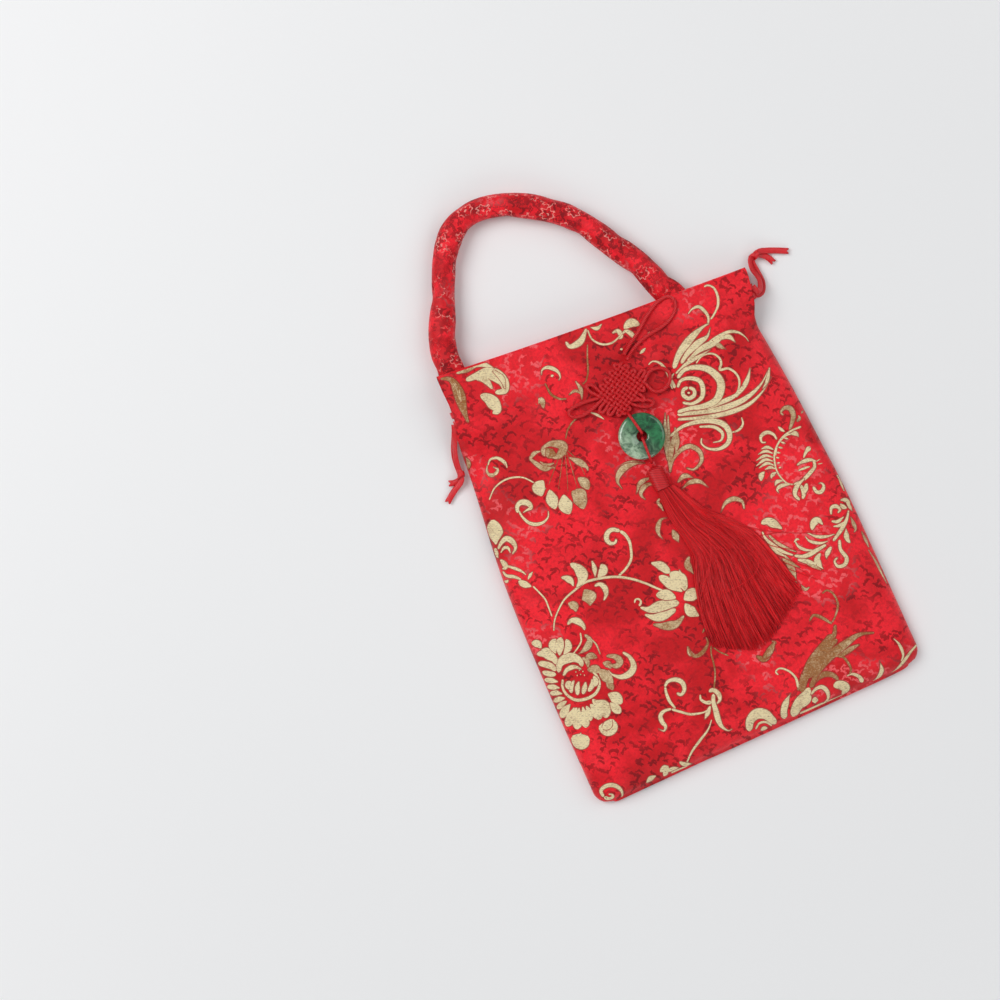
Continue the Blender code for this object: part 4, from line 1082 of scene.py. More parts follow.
def thread_silk(name):
    """Loose rayon silk: each thread its own red, bright along its top and dark between."""
    mat, tree, shader = new_material(name)
    place = place_of(tree, "UV")
    split = add(tree, "ShaderNodeSeparateXYZ", {0: place})
    number = calc(tree, "FLOOR", calc(tree, "DIVIDE", split.outputs[0], 4.0))
    own = add(tree, "ShaderNodeTexWhiteNoise", {"W": number}, noise_dimensions="1D")
    along = add(tree, "ShaderNodeTexNoise", {"Vector": place, "Scale": 0.12, "Detail": 2.0})
    base = blend_colour(tree, own.outputs["Value"], colour("#B4030D"), colour("#FF1C26"))
    base = blend_colour(tree, calc(tree, "MULTIPLY", along.outputs["Fac"], 0.35), base, colour("#BE0610"))
    join(tree, shader, base, calc(tree, "MULTIPLY_ADD", along.outputs["Fac"], 0.2, 0.28))
    shader.inputs["Anisotropic"].default_value = 0.4
    return mat


# Parts of the photograph that the pattern was read off, each enlarged: its left and top edge in
# the photograph's pixels, and how many times it was enlarged
UPPER = (420, 170, 4.126)
LEFT_SIDE = (440, 440, 6.031)
LOWER_LEFT = (530, 600, 5.807)
RIGHT_SIDE = (690, 400, 6.029)
LOWER_RIGHT = (760, 630, 6.969)
PHOTO_PIXELS = 1000

# How pale the gold is, from brown 0 to cream 1
CREAM = 1.0
TAN = 0.5
BROWN = 0.1


def on_bag(part, route):
    """Points of an enlarged part, written "x,y x,y", in millimetres on the bag to the nearest tenth."""
    left, top, times = part
    pixel = 1000 * VIEW_WIDTH / PHOTO_PIXELS
    along, up = (round(turned(math.radians(VIEW_TURN)), 3) for turned in (math.cos, math.sin))
    places = []
    for spot in route.split():
        x, y = (float(value) for value in spot.split(","))
        right = (left + x / times - PHOTO_PIXELS / 2) * pixel
        rise = (PHOTO_PIXELS / 2 - top - y / times) * pixel
        places.append((round(1000 * VIEW_X + along * right - up * rise, 1),
                       round(1000 * VIEW_Y + up * right + along * rise, 1)))
    return tuple(places)


# Gold strokes of the pattern: the tone, the start, middle and end width in millimetres, and the points
# that it runs through on its part
PATTERN = (
    (UPPER, (
        (CREAM, 1.2, 1.6, 1.2, "1168,485 1185,478 1210,490 1225,525 1225,565 1208,600 1195,620"),
        (CREAM, 1, 2.2, 1.5, "1100,600 1118,578 1145,568 1170,585 1185,610 1185,640"),
        (CREAM, 3, 4.5, 1.5, "1045,820 1065,765 1095,720 1130,680 1165,650 1190,635"),
        (CREAM, 2.5, 4, 1, "1075,800 1100,760 1140,720 1180,690 1195,650"),
        (CREAM, 2, 4, 1, "1100,790 1150,745 1210,715 1250,690 1290,700"),
        (CREAM, 3, 2, .8, "1190,720 1230,690 1270,670 1310,672 1340,690 1355,710"),
        (CREAM, 2, 3, 1, "1230,700 1270,690 1300,715"),
        (CREAM, 1, 1.5, 1.2, "1135,800 1160,770 1200,760 1230,775 1240,800 1235,825 1270,820 1300,840 "
         "1315,870 1310,910 1290,940"),
        (CREAM, 2.2, 2.6, 2.2, "1107,897 1128,908 1129,930 1107,943 1085,930 1085,908 1105,897"),
        (CREAM, 1.2, 1.4, 1.2, "1101,920 1107,920 1113,920"),
        (CREAM, 2, 3, 2, "1060,900 1075,870 1110,860 1150,870 1165,900 1160,940 1120,965 1080,960"),
        (CREAM, 2.5, 4.5, 2.5, "1060,860 1090,825 1140,815 1190,825 1230,860 1240,900 1220,950 1170,975 "
         "1110,985 1060,1000"),
        (CREAM, 1, 1.8, 2.2, "940,805 960,790 990,800 1015,830 1035,870 1050,900"),
        (CREAM, 2.5, 3.6, 1.2, "1060,1010 1150,1000 1240,985 1330,950 1400,890 1440,820"),
        (CREAM, 2, 3, 1, "1060,1030 1160,1022 1260,1005 1350,970 1410,915 1450,850"),
        (CREAM, 1.5, 3, 1.2, "1300,940 1330,900 1350,860 1360,815"),
        (CREAM, 1.5, 3, 1.5, "1180,990 1240,960 1300,930 1330,890"),
        (CREAM, 2, 3.5, 1.5, "1030,1100 1080,1060 1140,1040 1200,1035 1250,1050 1275,1085 1270,1125 "
         "1235,1150 1190,1150 1160,1130 1160,1105"),
        (CREAM, 1.5, 2.2, 1, "1150,1060 1210,1060 1245,1085 1240,1115 1205,1125"),
        (CREAM, .8, 1.5, 1, "1275,1085 1310,1075 1330,1050 1325,1020"),
        (TAN, 1.5, 3, 1.5, "1030,1250 1040,1200 1070,1160 1110,1140 1150,1160 1160,1200 1130,1235 "
         "1095,1230"),
        (TAN, 3, 3.5, 1.5, "1060,1080 1040,1130 1030,1190 1030,1250"),
        (TAN, 1, 3.5, 1.5, "1010,1000 1010,1100 1020,1200"),
        (TAN, 1, 3, 1, "1075,1320 1110,1290 1150,1285 1190,1310"),
        (TAN, 1, 2.5, 1, "810,1270 830,1225 880,1205 930,1210"),
        (TAN, 1, 3, 1, "890,1340 910,1290 960,1265"),
        (BROWN, 2, 6, 2, "85,862 130,870 160,920 180,990 200,1045"),
        (CREAM, 3, 7, 3, "190,870 240,850 290,840 340,870 350,910 310,920"),
        (CREAM, 4, 7, 3, "250,930 290,950 320,990 300,1005"),
        (CREAM, 2, 3, 1, "215,815 260,805 310,820"),
        (CREAM, 1, 2.5, 1, "500,850 505,825 530,815 565,830 578,855 570,870"),
        (CREAM, 1.5, 2, 1, "538,852 552,848"),
        (BROWN, 1, 1.5, 1, "515,880 540,925 575,945 605,945"),
        (CREAM, 2, 4, 2, "600,710 620,730 660,710 680,670 685,655"),
        (CREAM, 1, 2.5, 1, "700,650 730,655 750,635"),
        (CREAM, 1, 1.3, 1, "690,660 710,700 750,720 790,715 820,690 835,670"),
        (CREAM, 3, 5, 3, "840,655 870,632 905,640"),
        (CREAM, 1.5, 3, 1.5, "830,680 850,665 880,690 870,720"),
        (CREAM, 1.5, 3, 1, "790,675 815,665 830,690 810,700"),
        (CREAM, 1.2, 1.6, 1.2, "824,740 836,740"),
        (BROWN, .8, 1, .8, "690,720 690,780 692,830 685,870 670,885"),
        (CREAM, 1, 1.5, 1, "935,690 945,670"),
        (CREAM, 1, 2, 1, "905,760 930,735"),
        (BROWN, .8, 1, .8, "600,1110 610,1070 640,1030 680,1005 700,1000"),
        (TAN, 2, 5, 2, "500,1150 540,1130 590,1140 570,1180 520,1180"),
        (TAN, 1, 2.5, 1, "450,1200 470,1170 500,1160"),
        (TAN, 1, 2, 1, "460,1200 500,1225 560,1230"),
        (BROWN, .4, .4, .3, "590,1140 560,1220 530,1300"),
        (BROWN, .4, .4, .3, "592,1140 582,1230 570,1320"),
        (BROWN, .4, .4, .3, "594,1140 604,1230 610,1330"),
        (BROWN, .4, .4, .3, "597,1140 625,1230 650,1320"),
        (BROWN, .4, .4, .3, "600,1150 650,1200 680,1260"),
        (CREAM, 1, 1.8, 1, "280,1220 290,1195 320,1188 350,1205 360,1230"),
        (CREAM, 1, 2, 1, "285,1255 310,1255 320,1235 300,1225"),
        (CREAM, .8, 1.1, .9, "285,1362 310,1310 360,1275 420,1268 470,1290"),
        (TAN, 1, 3, 1, "185,1180 200,1210 190,1250"),
    )),
    (LEFT_SIDE, (
        (TAN, 1.5, 3, 1, "560,85 545,112 590,150 640,178 700,150"),
        (TAN, 1, 2, 1, "600,130 640,152 690,140"),
        (BROWN, 3, 6, 3, "640,50 665,80 700,90"),
        (CREAM, 4, 7.6, 4, "622,245 598,288 612,338"),
        (CREAM, 3, 6.6, 4, "660,300 672,350 695,415"),
        (CREAM, 3.5, 7.6, 5, "745,330 755,390 780,445"),
        (TAN, 4, 7.6, 4, "795,310 840,350 865,415"),
        (TAN, 2.5, 5.5, 3.5, "830,228 868,255 895,298"),
        (TAN, 1.5, 4, 1.5, "775,105 830,130 880,160 893,188"),
        (CREAM, .6, 2, .6, "303,118 335,106 370,122 400,162"),
        (TAN, 1, 2, .8, "285,150 283,190 308,215 335,200 345,172 325,165"),
        (CREAM, 1, 2.2, 1.4, "652,425 652,462 625,495 580,508 535,498 495,462 474,425"),
        (CREAM, 2.4, 3.6, 1.2, "470,440 466,400 490,376 530,382 548,408 522,424 498,440"),
        (CREAM, 6, 9, 2, "318,482 328,550 338,632"),
        (CREAM, 2, 3.5, 1.5, "350,660 370,620 400,595 435,610 455,650 435,690"),
        (CREAM, 1, 2, 1, "365,682 385,652 410,650 425,682"),
        (CREAM, 2, 3, 1.5, "332,650 342,700 355,712"),
        (CREAM, 2, 3.5, 1.5, "362,720 388,748 395,772 372,778"),
        (CREAM, 1.5, 1.9, 1, "395,758 440,770 490,790 520,815"),
        (CREAM, 1.5, 2.2, 1.5, "378,792 402,820 450,826 490,842"),
        (CREAM, 1, 2, 1, "385,852 402,856 412,842"),
        (CREAM, 3.4, 4, 2, "475,850 505,868 552,882"),
        (CREAM, 1, 2, .8, "530,842 545,812 560,792"),
        (CREAM, 1, 1, .9, "560,880 600,920 635,960 655,1010 675,1062"),
        (CREAM, 1, 1.6, 1.4, "685,1150 690,1090 710,1030 750,960 810,905 870,860 930,840 1000,828 1070,825 "
         "1150,835 1230,860 1300,890 1370,920"),
        (CREAM, 2, 4, 1.5, "728,828 762,832 790,850 805,882"),
        (CREAM, 3, 6.4, 2, "785,745 830,772 856,810 850,850 822,888"),
        (CREAM, 1.5, 3, 1, "915,725 930,772 935,832"),
        (CREAM, 4, 5, 2, "972,748 985,785 950,828"),
        (CREAM, 1.4, 1.6, 2, "1075,820 1120,775 1150,720 1150,660 1140,610 1115,570 1085,548"),
        (CREAM, 2.5, 3.2, 1.8, "1085,548 1040,540 1010,560 1003,595 1025,622 1055,618 1062,592"),
        (CREAM, 2, 3.5, 1.5, "930,880 962,868 992,890 1000,930 985,968"),
        (TAN, 4, 8, 2, "870,900 898,948 905,998"),
        (TAN, 3, 5, 1.5, "772,982 808,1000 820,1036"),
        (CREAM, 2, 5, 4, "1270,740 1330,758 1382,800"),
        (CREAM, 5, 8, 3, "1385,800 1430,830 1468,880 1472,908"),
        (CREAM, 4, 6, 2, "1320,820 1370,852 1420,888 1460,912"),
        (CREAM, 1, 3, 2, "1440,775 1450,812 1482,850"),
        (CREAM, 4, 6, 3, "1302,935 1362,932 1420,952"),
        (CREAM, 4, 7, 6, "1470,962 1520,930 1565,930"),
        (CREAM, 2, 6, 4, "1205,1008 1262,1020 1330,1000 1400,985 1440,978"),
        (CREAM, 1, 1.2, 1.5, "1172,982 1176,962 1196,958 1210,975 1200,1000"),
        (CREAM, 2, 5, 3, "1232,1050 1290,1068 1350,1058 1420,1018"),
        (TAN, 2, 5, 2, "1282,1110 1350,1120 1420,1108 1470,1058"),
        (CREAM, 3, 6, 2, "1475,985 1510,1030 1560,1060"),
        (CREAM, 2, 4, 2, "768,1112 792,1086 830,1090 862,1118 870,1145"),
        (CREAM, 1, 1, .8, "845,1160 850,1210 830,1250 800,1290"),
        (TAN, 2, 4, 1, "870,1170 900,1200 890,1240 860,1270 830,1290"),
        (TAN, .8, 1, .8, "900,1190 940,1230 965,1290"),
        (TAN, 1, 4, 1, "1228,142 1180,142 1120,162 1080,202 1070,250 1100,298"),
        (TAN, 1.5, 3, 1.2, "1300,275 1260,266 1222,290 1210,330 1240,362"),
        (TAN, 1, 2, 1, "1332,342 1312,372 1330,400 1345,430"),
        (TAN, 1, 3, 1, "1370,466 1330,482 1312,530 1320,570 1345,600"),
        (TAN, 2, 4, 1, "1400,540 1420,580 1440,620"),
        (TAN, 2, 4, 1, "1500,700 1490,750 1530,810"),
        (TAN, 1.5, 3, 1.5, "1490,1240 1510,1288 1550,1300"),
    )),
    (LOWER_LEFT, (
        (CREAM, 3, 4.2, 2, "150,225 128,260 150,310"),
        (CREAM, 4, 5, 2, "178,215 172,260 172,322"),
        (CREAM, 3, 4.2, 2, "210,225 222,270 195,315"),
        (CREAM, 4, 4.5, 2, "10,252 45,256 66,282"),
        (CREAM, 3, 5.4, 3, "40,318 90,312 138,340 150,372"),
        (CREAM, 3.5, 4, 3, "48,372 85,374 125,386 150,412"),
        (CREAM, 3, 3.6, 3, "72,422 112,430 152,432"),
        (CREAM, 3, 3.4, 1.5, "84,468 122,470 166,476"),
        (CREAM, 3, 3.4, 1.5, "98,512 132,508 176,512"),
        (CREAM, 3, 3.4, 1.5, "116,550 152,542 190,546"),
        (CREAM, 3, 3.4, 1.5, "138,596 168,580 206,570"),
        (CREAM, 3, 3.4, 1.5, "160,638 184,610 216,586"),
        (CREAM, 4, 4.6, 1.5, "182,690 206,642 236,602"),
        (CREAM, 4.5, 5.2, 1.5, "216,738 238,682 257,622"),
        (CREAM, 5, 5.6, 1.5, "272,752 278,684 286,622"),
        (CREAM, 4.5, 5.2, 1.5, "325,740 316,672 306,616"),
        (CREAM, 6, 6.4, 2, "405,690 384,640 348,602"),
        (CREAM, 5, 6, 2, "442,682 430,612 374,582"),
        (CREAM, 5, 6.4, 3, "532,598 492,562 452,542"),
        (CREAM, 5, 5, 2, "525,652 492,622 462,592"),
        (CREAM, 6, 8, 6, "476,690 462,742 400,738"),
        (CREAM, 7, 9, 7, "245,800 296,822 342,800"),
        (CREAM, 3, 5.6, 3, "166,420 172,372 202,342 250,332 290,352 302,384"),
        (CREAM, 2, 3, 1.5, "192,440 216,402 260,386 300,402"),
        (CREAM, 1.6, 2, 1.6, "190,460 190,510 220,555 270,580 330,570 380,540 402,490 388,440 352,402"),
        (CREAM, 2.5, 3.2, 1.5, "240,540 238,500 258,462"),
        (CREAM, 2.5, 3.2, 1.5, "276,552 275,502 284,468"),
        (CREAM, 2.5, 3.2, 1.5, "306,546 318,502 322,470"),
        (CREAM, 2.5, 3.2, 1.5, "338,530 360,490 358,452"),
        (CREAM, .9, 1.1, .9, "262,415 269,415"),
        (CREAM, .9, 1.1, .9, "283,405 290,405"),
        (CREAM, .9, 1.1, .9, "303,412 310,412"),
        (CREAM, .9, 1.1, .9, "270,436 277,436"),
        (CREAM, .9, 1.1, .9, "290,430 297,430"),
        (CREAM, .9, 1.1, .9, "312,434 319,434"),
        (TAN, 3, 4, 2, "322,342 352,322 390,332"),
        (TAN, 3, 5, 2, "332,402 380,400 420,420"),
        (TAN, 4, 6, 3, "402,402 442,442 480,482"),
        (CREAM, 2, 4, 1.2, "535,300 578,330 600,380 580,422 530,444 480,432 450,402"),
        (TAN, 2, 4, 2, "440,322 490,326 520,352 500,380 452,372"),
        (BROWN, 1.2, 2.5, 1.2, "1020,212 1030,250 1002,300 962,324 932,310 920,270"),
        (BROWN, .8, 1, .8, "1000,190 1010,162"),
        (BROWN, .9, 1, .9, "1050,262 1050,310 1065,370 1072,430 1066,512"),
        (BROWN, .8, .8, .8, "1062,272 1100,300 1150,320"),
        (BROWN, 2, 4, 2, "1310,322 1350,340 1385,312 1370,290"),
        (BROWN, 1, 1.2, 1, "1400,236 1425,246 1402,262"),
        (CREAM, 2.5, 3, 1.5, "1035,530 1060,520 1090,540 1100,575 1080,602"),
        (CREAM, 1.2, 1.8, 2.5, "985,545 990,575 1020,592 1052,590"),
        (CREAM, 2.5, 3.5, 1, "1062,542 1062,590 1076,640 1090,690 1112,732 1150,756 1176,745"),
        (CREAM, 1.8, 3, 1, "1045,610 1030,650 1010,692"),
        (CREAM, .9, 1.7, 1.2, "1052,690 1030,750 980,820 940,880 912,948"),
        (CREAM, 1, 1.5, 1.5, "1040,630 1000,650 930,660 870,645 820,630"),
        (CREAM, 1.8, 2.8, 1, "820,628 778,640 756,668 765,704 785,730 775,756 740,743"),
        (CREAM, 1.5, 2, 1.5, "842,626 810,586 790,540 782,500"),
        (CREAM, 2, 3, 2, "780,502 798,470 840,458 880,475 893,515 875,546 848,536"),
        (CREAM, 1.5, 3.5, 1.5, "677,1068 702,1040 735,1022"),
        (CREAM, 3, 4, 3, "758,1000 788,975 790,1008 780,1028"),
        (CREAM, 2, 3, 1, "790,1000 840,982 872,976"),
        (CREAM, 2, 3, 1, "867,940 900,956 950,956"),
        (CREAM, 1.6, 1.8, 1.6, "825,1010 872,990 920,972"),
        (CREAM, 2.2, 2.8, 1, "430,1150 414,1112 440,1082 485,1076 525,1100 540,1140 520,1178"),
        (CREAM, 2.5, 2, 1.2, "432,1150 460,1160 484,1150 476,1132 456,1132"),
        (CREAM, 4, 6, 4, "1276,762 1276,702 1312,660 1362,662 1402,692 1432,722"),
        (CREAM, 1.2, 1.5, 1.2, "1312,752 1332,716 1372,710 1410,735"),
        (CREAM, 2.5, 3, 2, "1345,762 1362,748 1385,748"),
    )),
    (RIGHT_SIDE, (
        (CREAM, 1.2, 1.1, 1, "670,160 610,185 555,225 520,280 505,340 515,410 540,460 580,500 620,510"),
        (CREAM, 1.5, 2.4, 1.2, "522,240 500,208 460,196 426,220 430,254 458,256"),
        (CREAM, 1, 1.9, .8, "502,300 462,284 424,296"),
        (CREAM, 1, 1.9, .8, "500,322 452,308 406,330"),
        (CREAM, 1, 1.9, .8, "500,346 450,336 394,366"),
        (CREAM, 1, 1.9, .8, "502,370 450,360 394,400"),
        (CREAM, 1, 1.9, .8, "506,394 462,382 410,412"),
        (CREAM, 1, 1.9, .8, "514,416 482,406 446,420"),
        (CREAM, 2, 3.4, 1.5, "425,490 428,456 448,430"),
        (CREAM, 1, 2.5, 1, "522,432 492,455 488,478"),
        (CREAM, 1.2, 2.5, 1, "560,486 524,492 508,520"),
        (CREAM, 1.5, 2.5, 1, "602,508 552,515 522,538 535,562"),
        (CREAM, .6, 1.2, .5, "562,228 592,236"),
        (CREAM, .6, 1.2, .5, "542,252 575,264"),
        (CREAM, .6, 1.2, .5, "526,284 558,290"),
        (CREAM, .6, 1.2, .5, "516,315 545,320"),
        (CREAM, .6, 1.2, .5, "514,346 538,350"),
        (CREAM, .6, 1.2, .5, "520,380 542,378"),
        (CREAM, .6, 1.2, .5, "530,410 550,404"),
        (CREAM, 1.5, 3, 1, "600,206 636,202 656,226"),
        (CREAM, 1.5, 2.5, 2, "620,510 680,480 730,430 750,400 745,360"),
        (CREAM, 1.5, 2.5, 1.5, "640,395 670,375 720,360 762,370"),
        (CREAM, 1, 1.5, 1, "650,426 690,410 722,400"),
        (CREAM, 1.2, 2, 3.4, "682,350 700,310 724,284"),
        (CREAM, .6, .6, .4, "760,370 786,355"),
        (CREAM, .6, .6, .4, "770,386 802,380"),
        (CREAM, 1.5, 3, 2, "690,470 642,520 630,570 660,604"),
        (CREAM, 2, 3, 2, "662,510 684,555 676,598"),
        (CREAM, 2, 3, 1, "702,500 694,540 690,570"),
        (CREAM, 2, 2.5, 1, "740,520 760,552 790,552 806,520 790,500 770,506"),
        (CREAM, 1, 2, 1, "527,160 550,180 570,192"),
        (TAN, 2, 3.5, 1.5, "596,180 612,140 622,90 602,50 566,50 546,76 562,92"),
        (TAN, 1.5, 2, 1, "642,130 662,110 652,90"),
        (TAN, 1, 1.2, .8, "672,80 692,60"),
        (CREAM, 1.2, 1.8, 1, "892,450 912,480 926,520 938,550"),
        (CREAM, 1.5, 3, 1.5, "905,602 940,602 966,622 952,642"),
        (CREAM, 3, 5, 2, "425,745 462,730 510,750 552,776"),
        (CREAM, 1.5, 2.6, 1.5, "430,790 450,830 490,870 550,910 622,936"),
        (TAN, 1.5, 2, 1, "470,812 520,860 580,892 640,915"),
        (CREAM, 2, 3, 2, "622,938 690,940 760,905 820,870"),
        (CREAM, 1.2, 2, 1, "630,850 650,882 690,902 740,905"),
        (CREAM, .8, 1.4, .8, "622,858 640,838 658,842"),
        (CREAM, 1, 2, 1, "690,820 720,850 780,862 830,850"),
        (CREAM, 1, 2, 1, "700,798 760,822 820,822 872,808"),
        (CREAM, 2.5, 4.4, 1.5, "732,784 742,742 770,725 800,752"),
        (CREAM, 1.5, 2.5, 1.5, "850,692 850,652 880,640 905,660 890,682"),
        (CREAM, 1.5, 2.2, 1, "850,730 890,732 930,702"),
        (CREAM, 1, 2, 1, "860,762 900,756 936,730"),
        (CREAM, 1.5, 2.6, 2, "962,662 945,720 910,782 860,850"),
        (CREAM, 1.5, 3, 1.5, "905,622 922,642 952,652"),
        (CREAM, 1.5, 2.5, 1, "945,610 968,640 985,672"),
        (TAN, 1, 2.5, 1, "970,700 988,740 1002,776 990,800"),
        (CREAM, 1, 3.4, 2, "940,770 945,830 966,862"),
        (CREAM, 2, 2.6, 1.5, "900,840 905,900 940,950 930,990 890,1002 868,972 888,946"),
        (CREAM, 2, 3, 1, "850,882 822,930 820,962"),
        (CREAM, 2, 4, 1, "782,920 762,962 782,1000 802,1020"),
        (CREAM, 2, 3, 2, "642,960 700,972 760,990"),
        (TAN, 2, 4, 1.5, "552,950 600,1000 630,1080 642,1100"),
        (TAN, 2, 3, 1, "510,970 562,990"),
        (TAN, 1.2, 2, 1, "660,1112 690,1140 716,1125"),
        (TAN, 1, 3, 1.5, "180,682 210,622 260,596 310,612 324,660"),
        (TAN, 1, 4, 1, "370,1062 400,1110 460,1150 510,1175"),
        (TAN, 1, 2, 1, "1040,790 1068,850 1086,890"),
        (TAN, .8, 1.6, .8, "1080,900 1118,960 1150,1020 1196,1110"),
        (BROWN, 1, 1.3, 1, "790,1165 820,1145 860,1170 885,1230 870,1300 850,1340"),
        (BROWN, 1.2, 2, 1.5, "715,1332 740,1296 790,1310 850,1346"),
        (BROWN, 2, 3, 2, "870,1350 860,1420 812,1480 770,1530"),
    )),
    (LOWER_RIGHT, (
        (CREAM, 1, 1.2, 1.6, "125,310 106,290 120,270 150,265 200,285 245,330 265,400"),
        (CREAM, 4, 4, .6, "176,622 166,560 185,490 215,430"),
        (CREAM, 5, 6.4, 4, "236,608 262,530 318,450 340,400"),
        (BROWN, 3.5, 5, 4, "288,430 310,330 350,230 420,130 500,30"),
        (BROWN, 3, 5, 1.5, "350,400 402,280 480,180 580,100 680,30 790,15"),
        (BROWN, 2.5, 3.2, 1.5, "540,185 640,120 690,95"),
        (BROWN, 4, 5, 3, "330,330 400,200 470,120 530,60"),
        (BROWN, 1, 1.5, 1.2, "480,185 560,180 600,215 630,270 620,308"),
        (BROWN, 2, 3.6, 2.5, "360,400 390,340 440,306 500,310 545,345"),
        (CREAM, 4.5, 5.4, 3, "512,388 560,382 606,410 580,450"),
        (CREAM, 1.8, 2.8, 1.5, "355,450 385,410 430,396 470,430 480,480 450,520"),
        (CREAM, 4, 4.5, 3, "365,496 385,490 408,490"),
        (CREAM, 2, 2.6, 2, "285,588 350,562 430,530 530,490 600,458"),
        (CREAM, 1, 2, 2.8, "600,320 640,305 690,325 722,366"),
        (CREAM, 2, 3, .6, "800,372 832,336 850,280 825,205"),
        (CREAM, .8, 2, 1.2, "925,55 970,100 1000,170 990,220"),
        (CREAM, 1.5, 2.2, 1.2, "1110,106 1060,150 1010,220 960,280 915,322"),
        (BROWN, 3, 4, 2, "20,200 60,150 100,80"),
    )),
    (UPPER, (
        (CREAM, .8, 1.2, .8, "1560,1085 1510,1095 1475,1130 1465,1180"),
        (CREAM, 2, 3.4, 1.5, "300,828 338,862 352,905"),
        (CREAM, 2.5, 4, 2, "228,862 268,868 300,905"),
        (TAN, 2, 3.4, 1.5, "150,842 196,826 236,812"),
        (TAN, 2, 4, 1.5, "118,862 150,900 172,962"),
        (CREAM, 1.5, 2.6, 1, "1052,842 1098,800 1150,770 1196,742"),
        (TAN, 1.5, 3, 1, "1200,705 1235,730 1262,742"),
        (CREAM, 1, 2, 1, "1040,905 1030,870 1046,838"),
        (TAN, 1.5, 3, 1.2, "1050,1060 1060,1120 1052,1180"),
        (TAN, 1, 2.2, 1, "1022,1010 1024,1100 1026,1190"),
        (TAN, 1.5, 3, 1, "1060,1290 1090,1262 1130,1270"),
        (CREAM, 1, 2.4, 1.2, "1410,905 1430,870 1442,812"),
        (TAN, 1.2, 2.4, 1, "640,870 662,905 668,950"),
        (TAN, 1, 1.8, .8, "612,930 640,912 668,928"),
        (CREAM, 1, 1.6, .8, "700,1000 732,1012 760,1030"),
        (TAN, 2, 3.5, 2, "478,968 500,950 510,985"),
    )),
    (LEFT_SIDE, (
        (TAN, 2, 4.5, 2, "612,40 632,72 668,100"),
        (TAN, 1.5, 3.5, 1.5, "700,30 730,50 760,92"),
        (TAN, 2, 5, 3, "812,300 850,318 880,352"),
    )),
    (LOWER_LEFT, (
        (CREAM, 2.5, 3.4, 2, "60,300 100,292 128,312"),
        (CREAM, 3, 4, 2, "245,690 262,650 272,622"),
        (CREAM, 3, 4, 2, "352,700 344,650 326,612"),
        (CREAM, 3, 4, 2, "408,620 384,596 360,572"),
        (CREAM, 4, 5, 3, "420,745 452,722 472,690"),
        (CREAM, 3, 3.4, 2, "236,470 218,492 226,520"),
        (CREAM, 3, 3.4, 2, "372,500 382,470 368,436"),
        (TAN, 2, 3, 1.5, "300,332 330,352 338,392"),
        (TAN, 2, 4, 2, "420,362 452,372 470,396"),
        (TAN, 2, 4, 2, "440,470 470,500 480,522"),
    )),
    (LOWER_RIGHT, (
        (BROWN, 2, 3, 1.5, "262,420 300,310 372,170"),
        (BROWN, 2, 3, 1.5, "430,260 480,190 560,150"),
        (CREAM, 2, 3, 2, "300,540 340,490 352,450"),
    )),
    (RIGHT_SIDE, (
        (TAN, 1.5, 2.5, 1, "560,930 610,985 660,1010"),
        (TAN, 1.5, 2.5, 1, "700,985 740,1000 790,1025"),
        (CREAM, 1.2, 2.2, 1, "470,870 520,915 580,945"),
    )),
)
STROKES = tuple((*stroke[:4], on_bag(part, stroke[4])) for part, strokes in PATTERN for stroke in strokes)

# How much wider the woven strokes are than they were read, and the share of a stroke that its outline takes
STROKE_SWELL = 1.2
RIM_SHARE = 0.19

# Millimetres: the narrowest stroke, the outline's least and most, and a strip of a stroke's mesh
NARROWEST = 0.12
RIM_LEAST = 0.10
RIM_MOST = 0.60
STRIP_WIDTH = 1.1

# Metres: the inset from the bag's edges, the lift off the ground, the step from one stroke to the next,
# and how far a stroke's edges drop
STROKE_INSET = 0.0005
GOLD_LIFT = 0.00016
GOLD_STEP = 0.000012
EDGE_DROP = 0.00012


def catmull(points, step):
    """Places at an even step on a smooth curve through flat points."""
    return resample([(x, y, 0) for x, y in points], step)


def stroke_rings(points, widths, step=0.6):
    """Left and right sides of a stroke whose width swells from its start to its middle and end."""
    line = catmull(points, step)
    start, middle, end = widths
    rows = []
    for i, spot in enumerate(line):
        t = i / (len(line) - 1)
        ahead = line[min(i + 1, len(line) - 1)] - line[max(i - 1, 0)]
        across = Vector((-ahead.y, ahead.x)).normalized()
        width = (start + (middle - start) * ramp(t, 0, 0.5) if t < 0.5
                 else middle + (end - middle) * ramp(t, 0.5, 1))
        half = max(width, NARROWEST) / 2
        run = step * min(i, len(line) - 1 - i)
        if run < half:
            half *= math.sqrt(1 - (1 - max(run, 0.08 * half) / half) ** 2)
        rows.append((Vector((spot.x, spot.y)), across, half))
    return rows


def on_cloth(x, y):
    """The nearest place on the bag, just inside its edges, and whether that is another place."""
    low, high = base_line(x) + STROKE_INSET, mouth_line(x) - STROKE_INSET
    inside_y = min(max(y, low), high)
    left, right = edge_x(-1, inside_y) + STROKE_INSET, edge_x(1, inside_y) - STROKE_INSET
    inside_x = min(max(x, left), right)
    return inside_x, inside_y, (inside_x, inside_y) != (x, y)


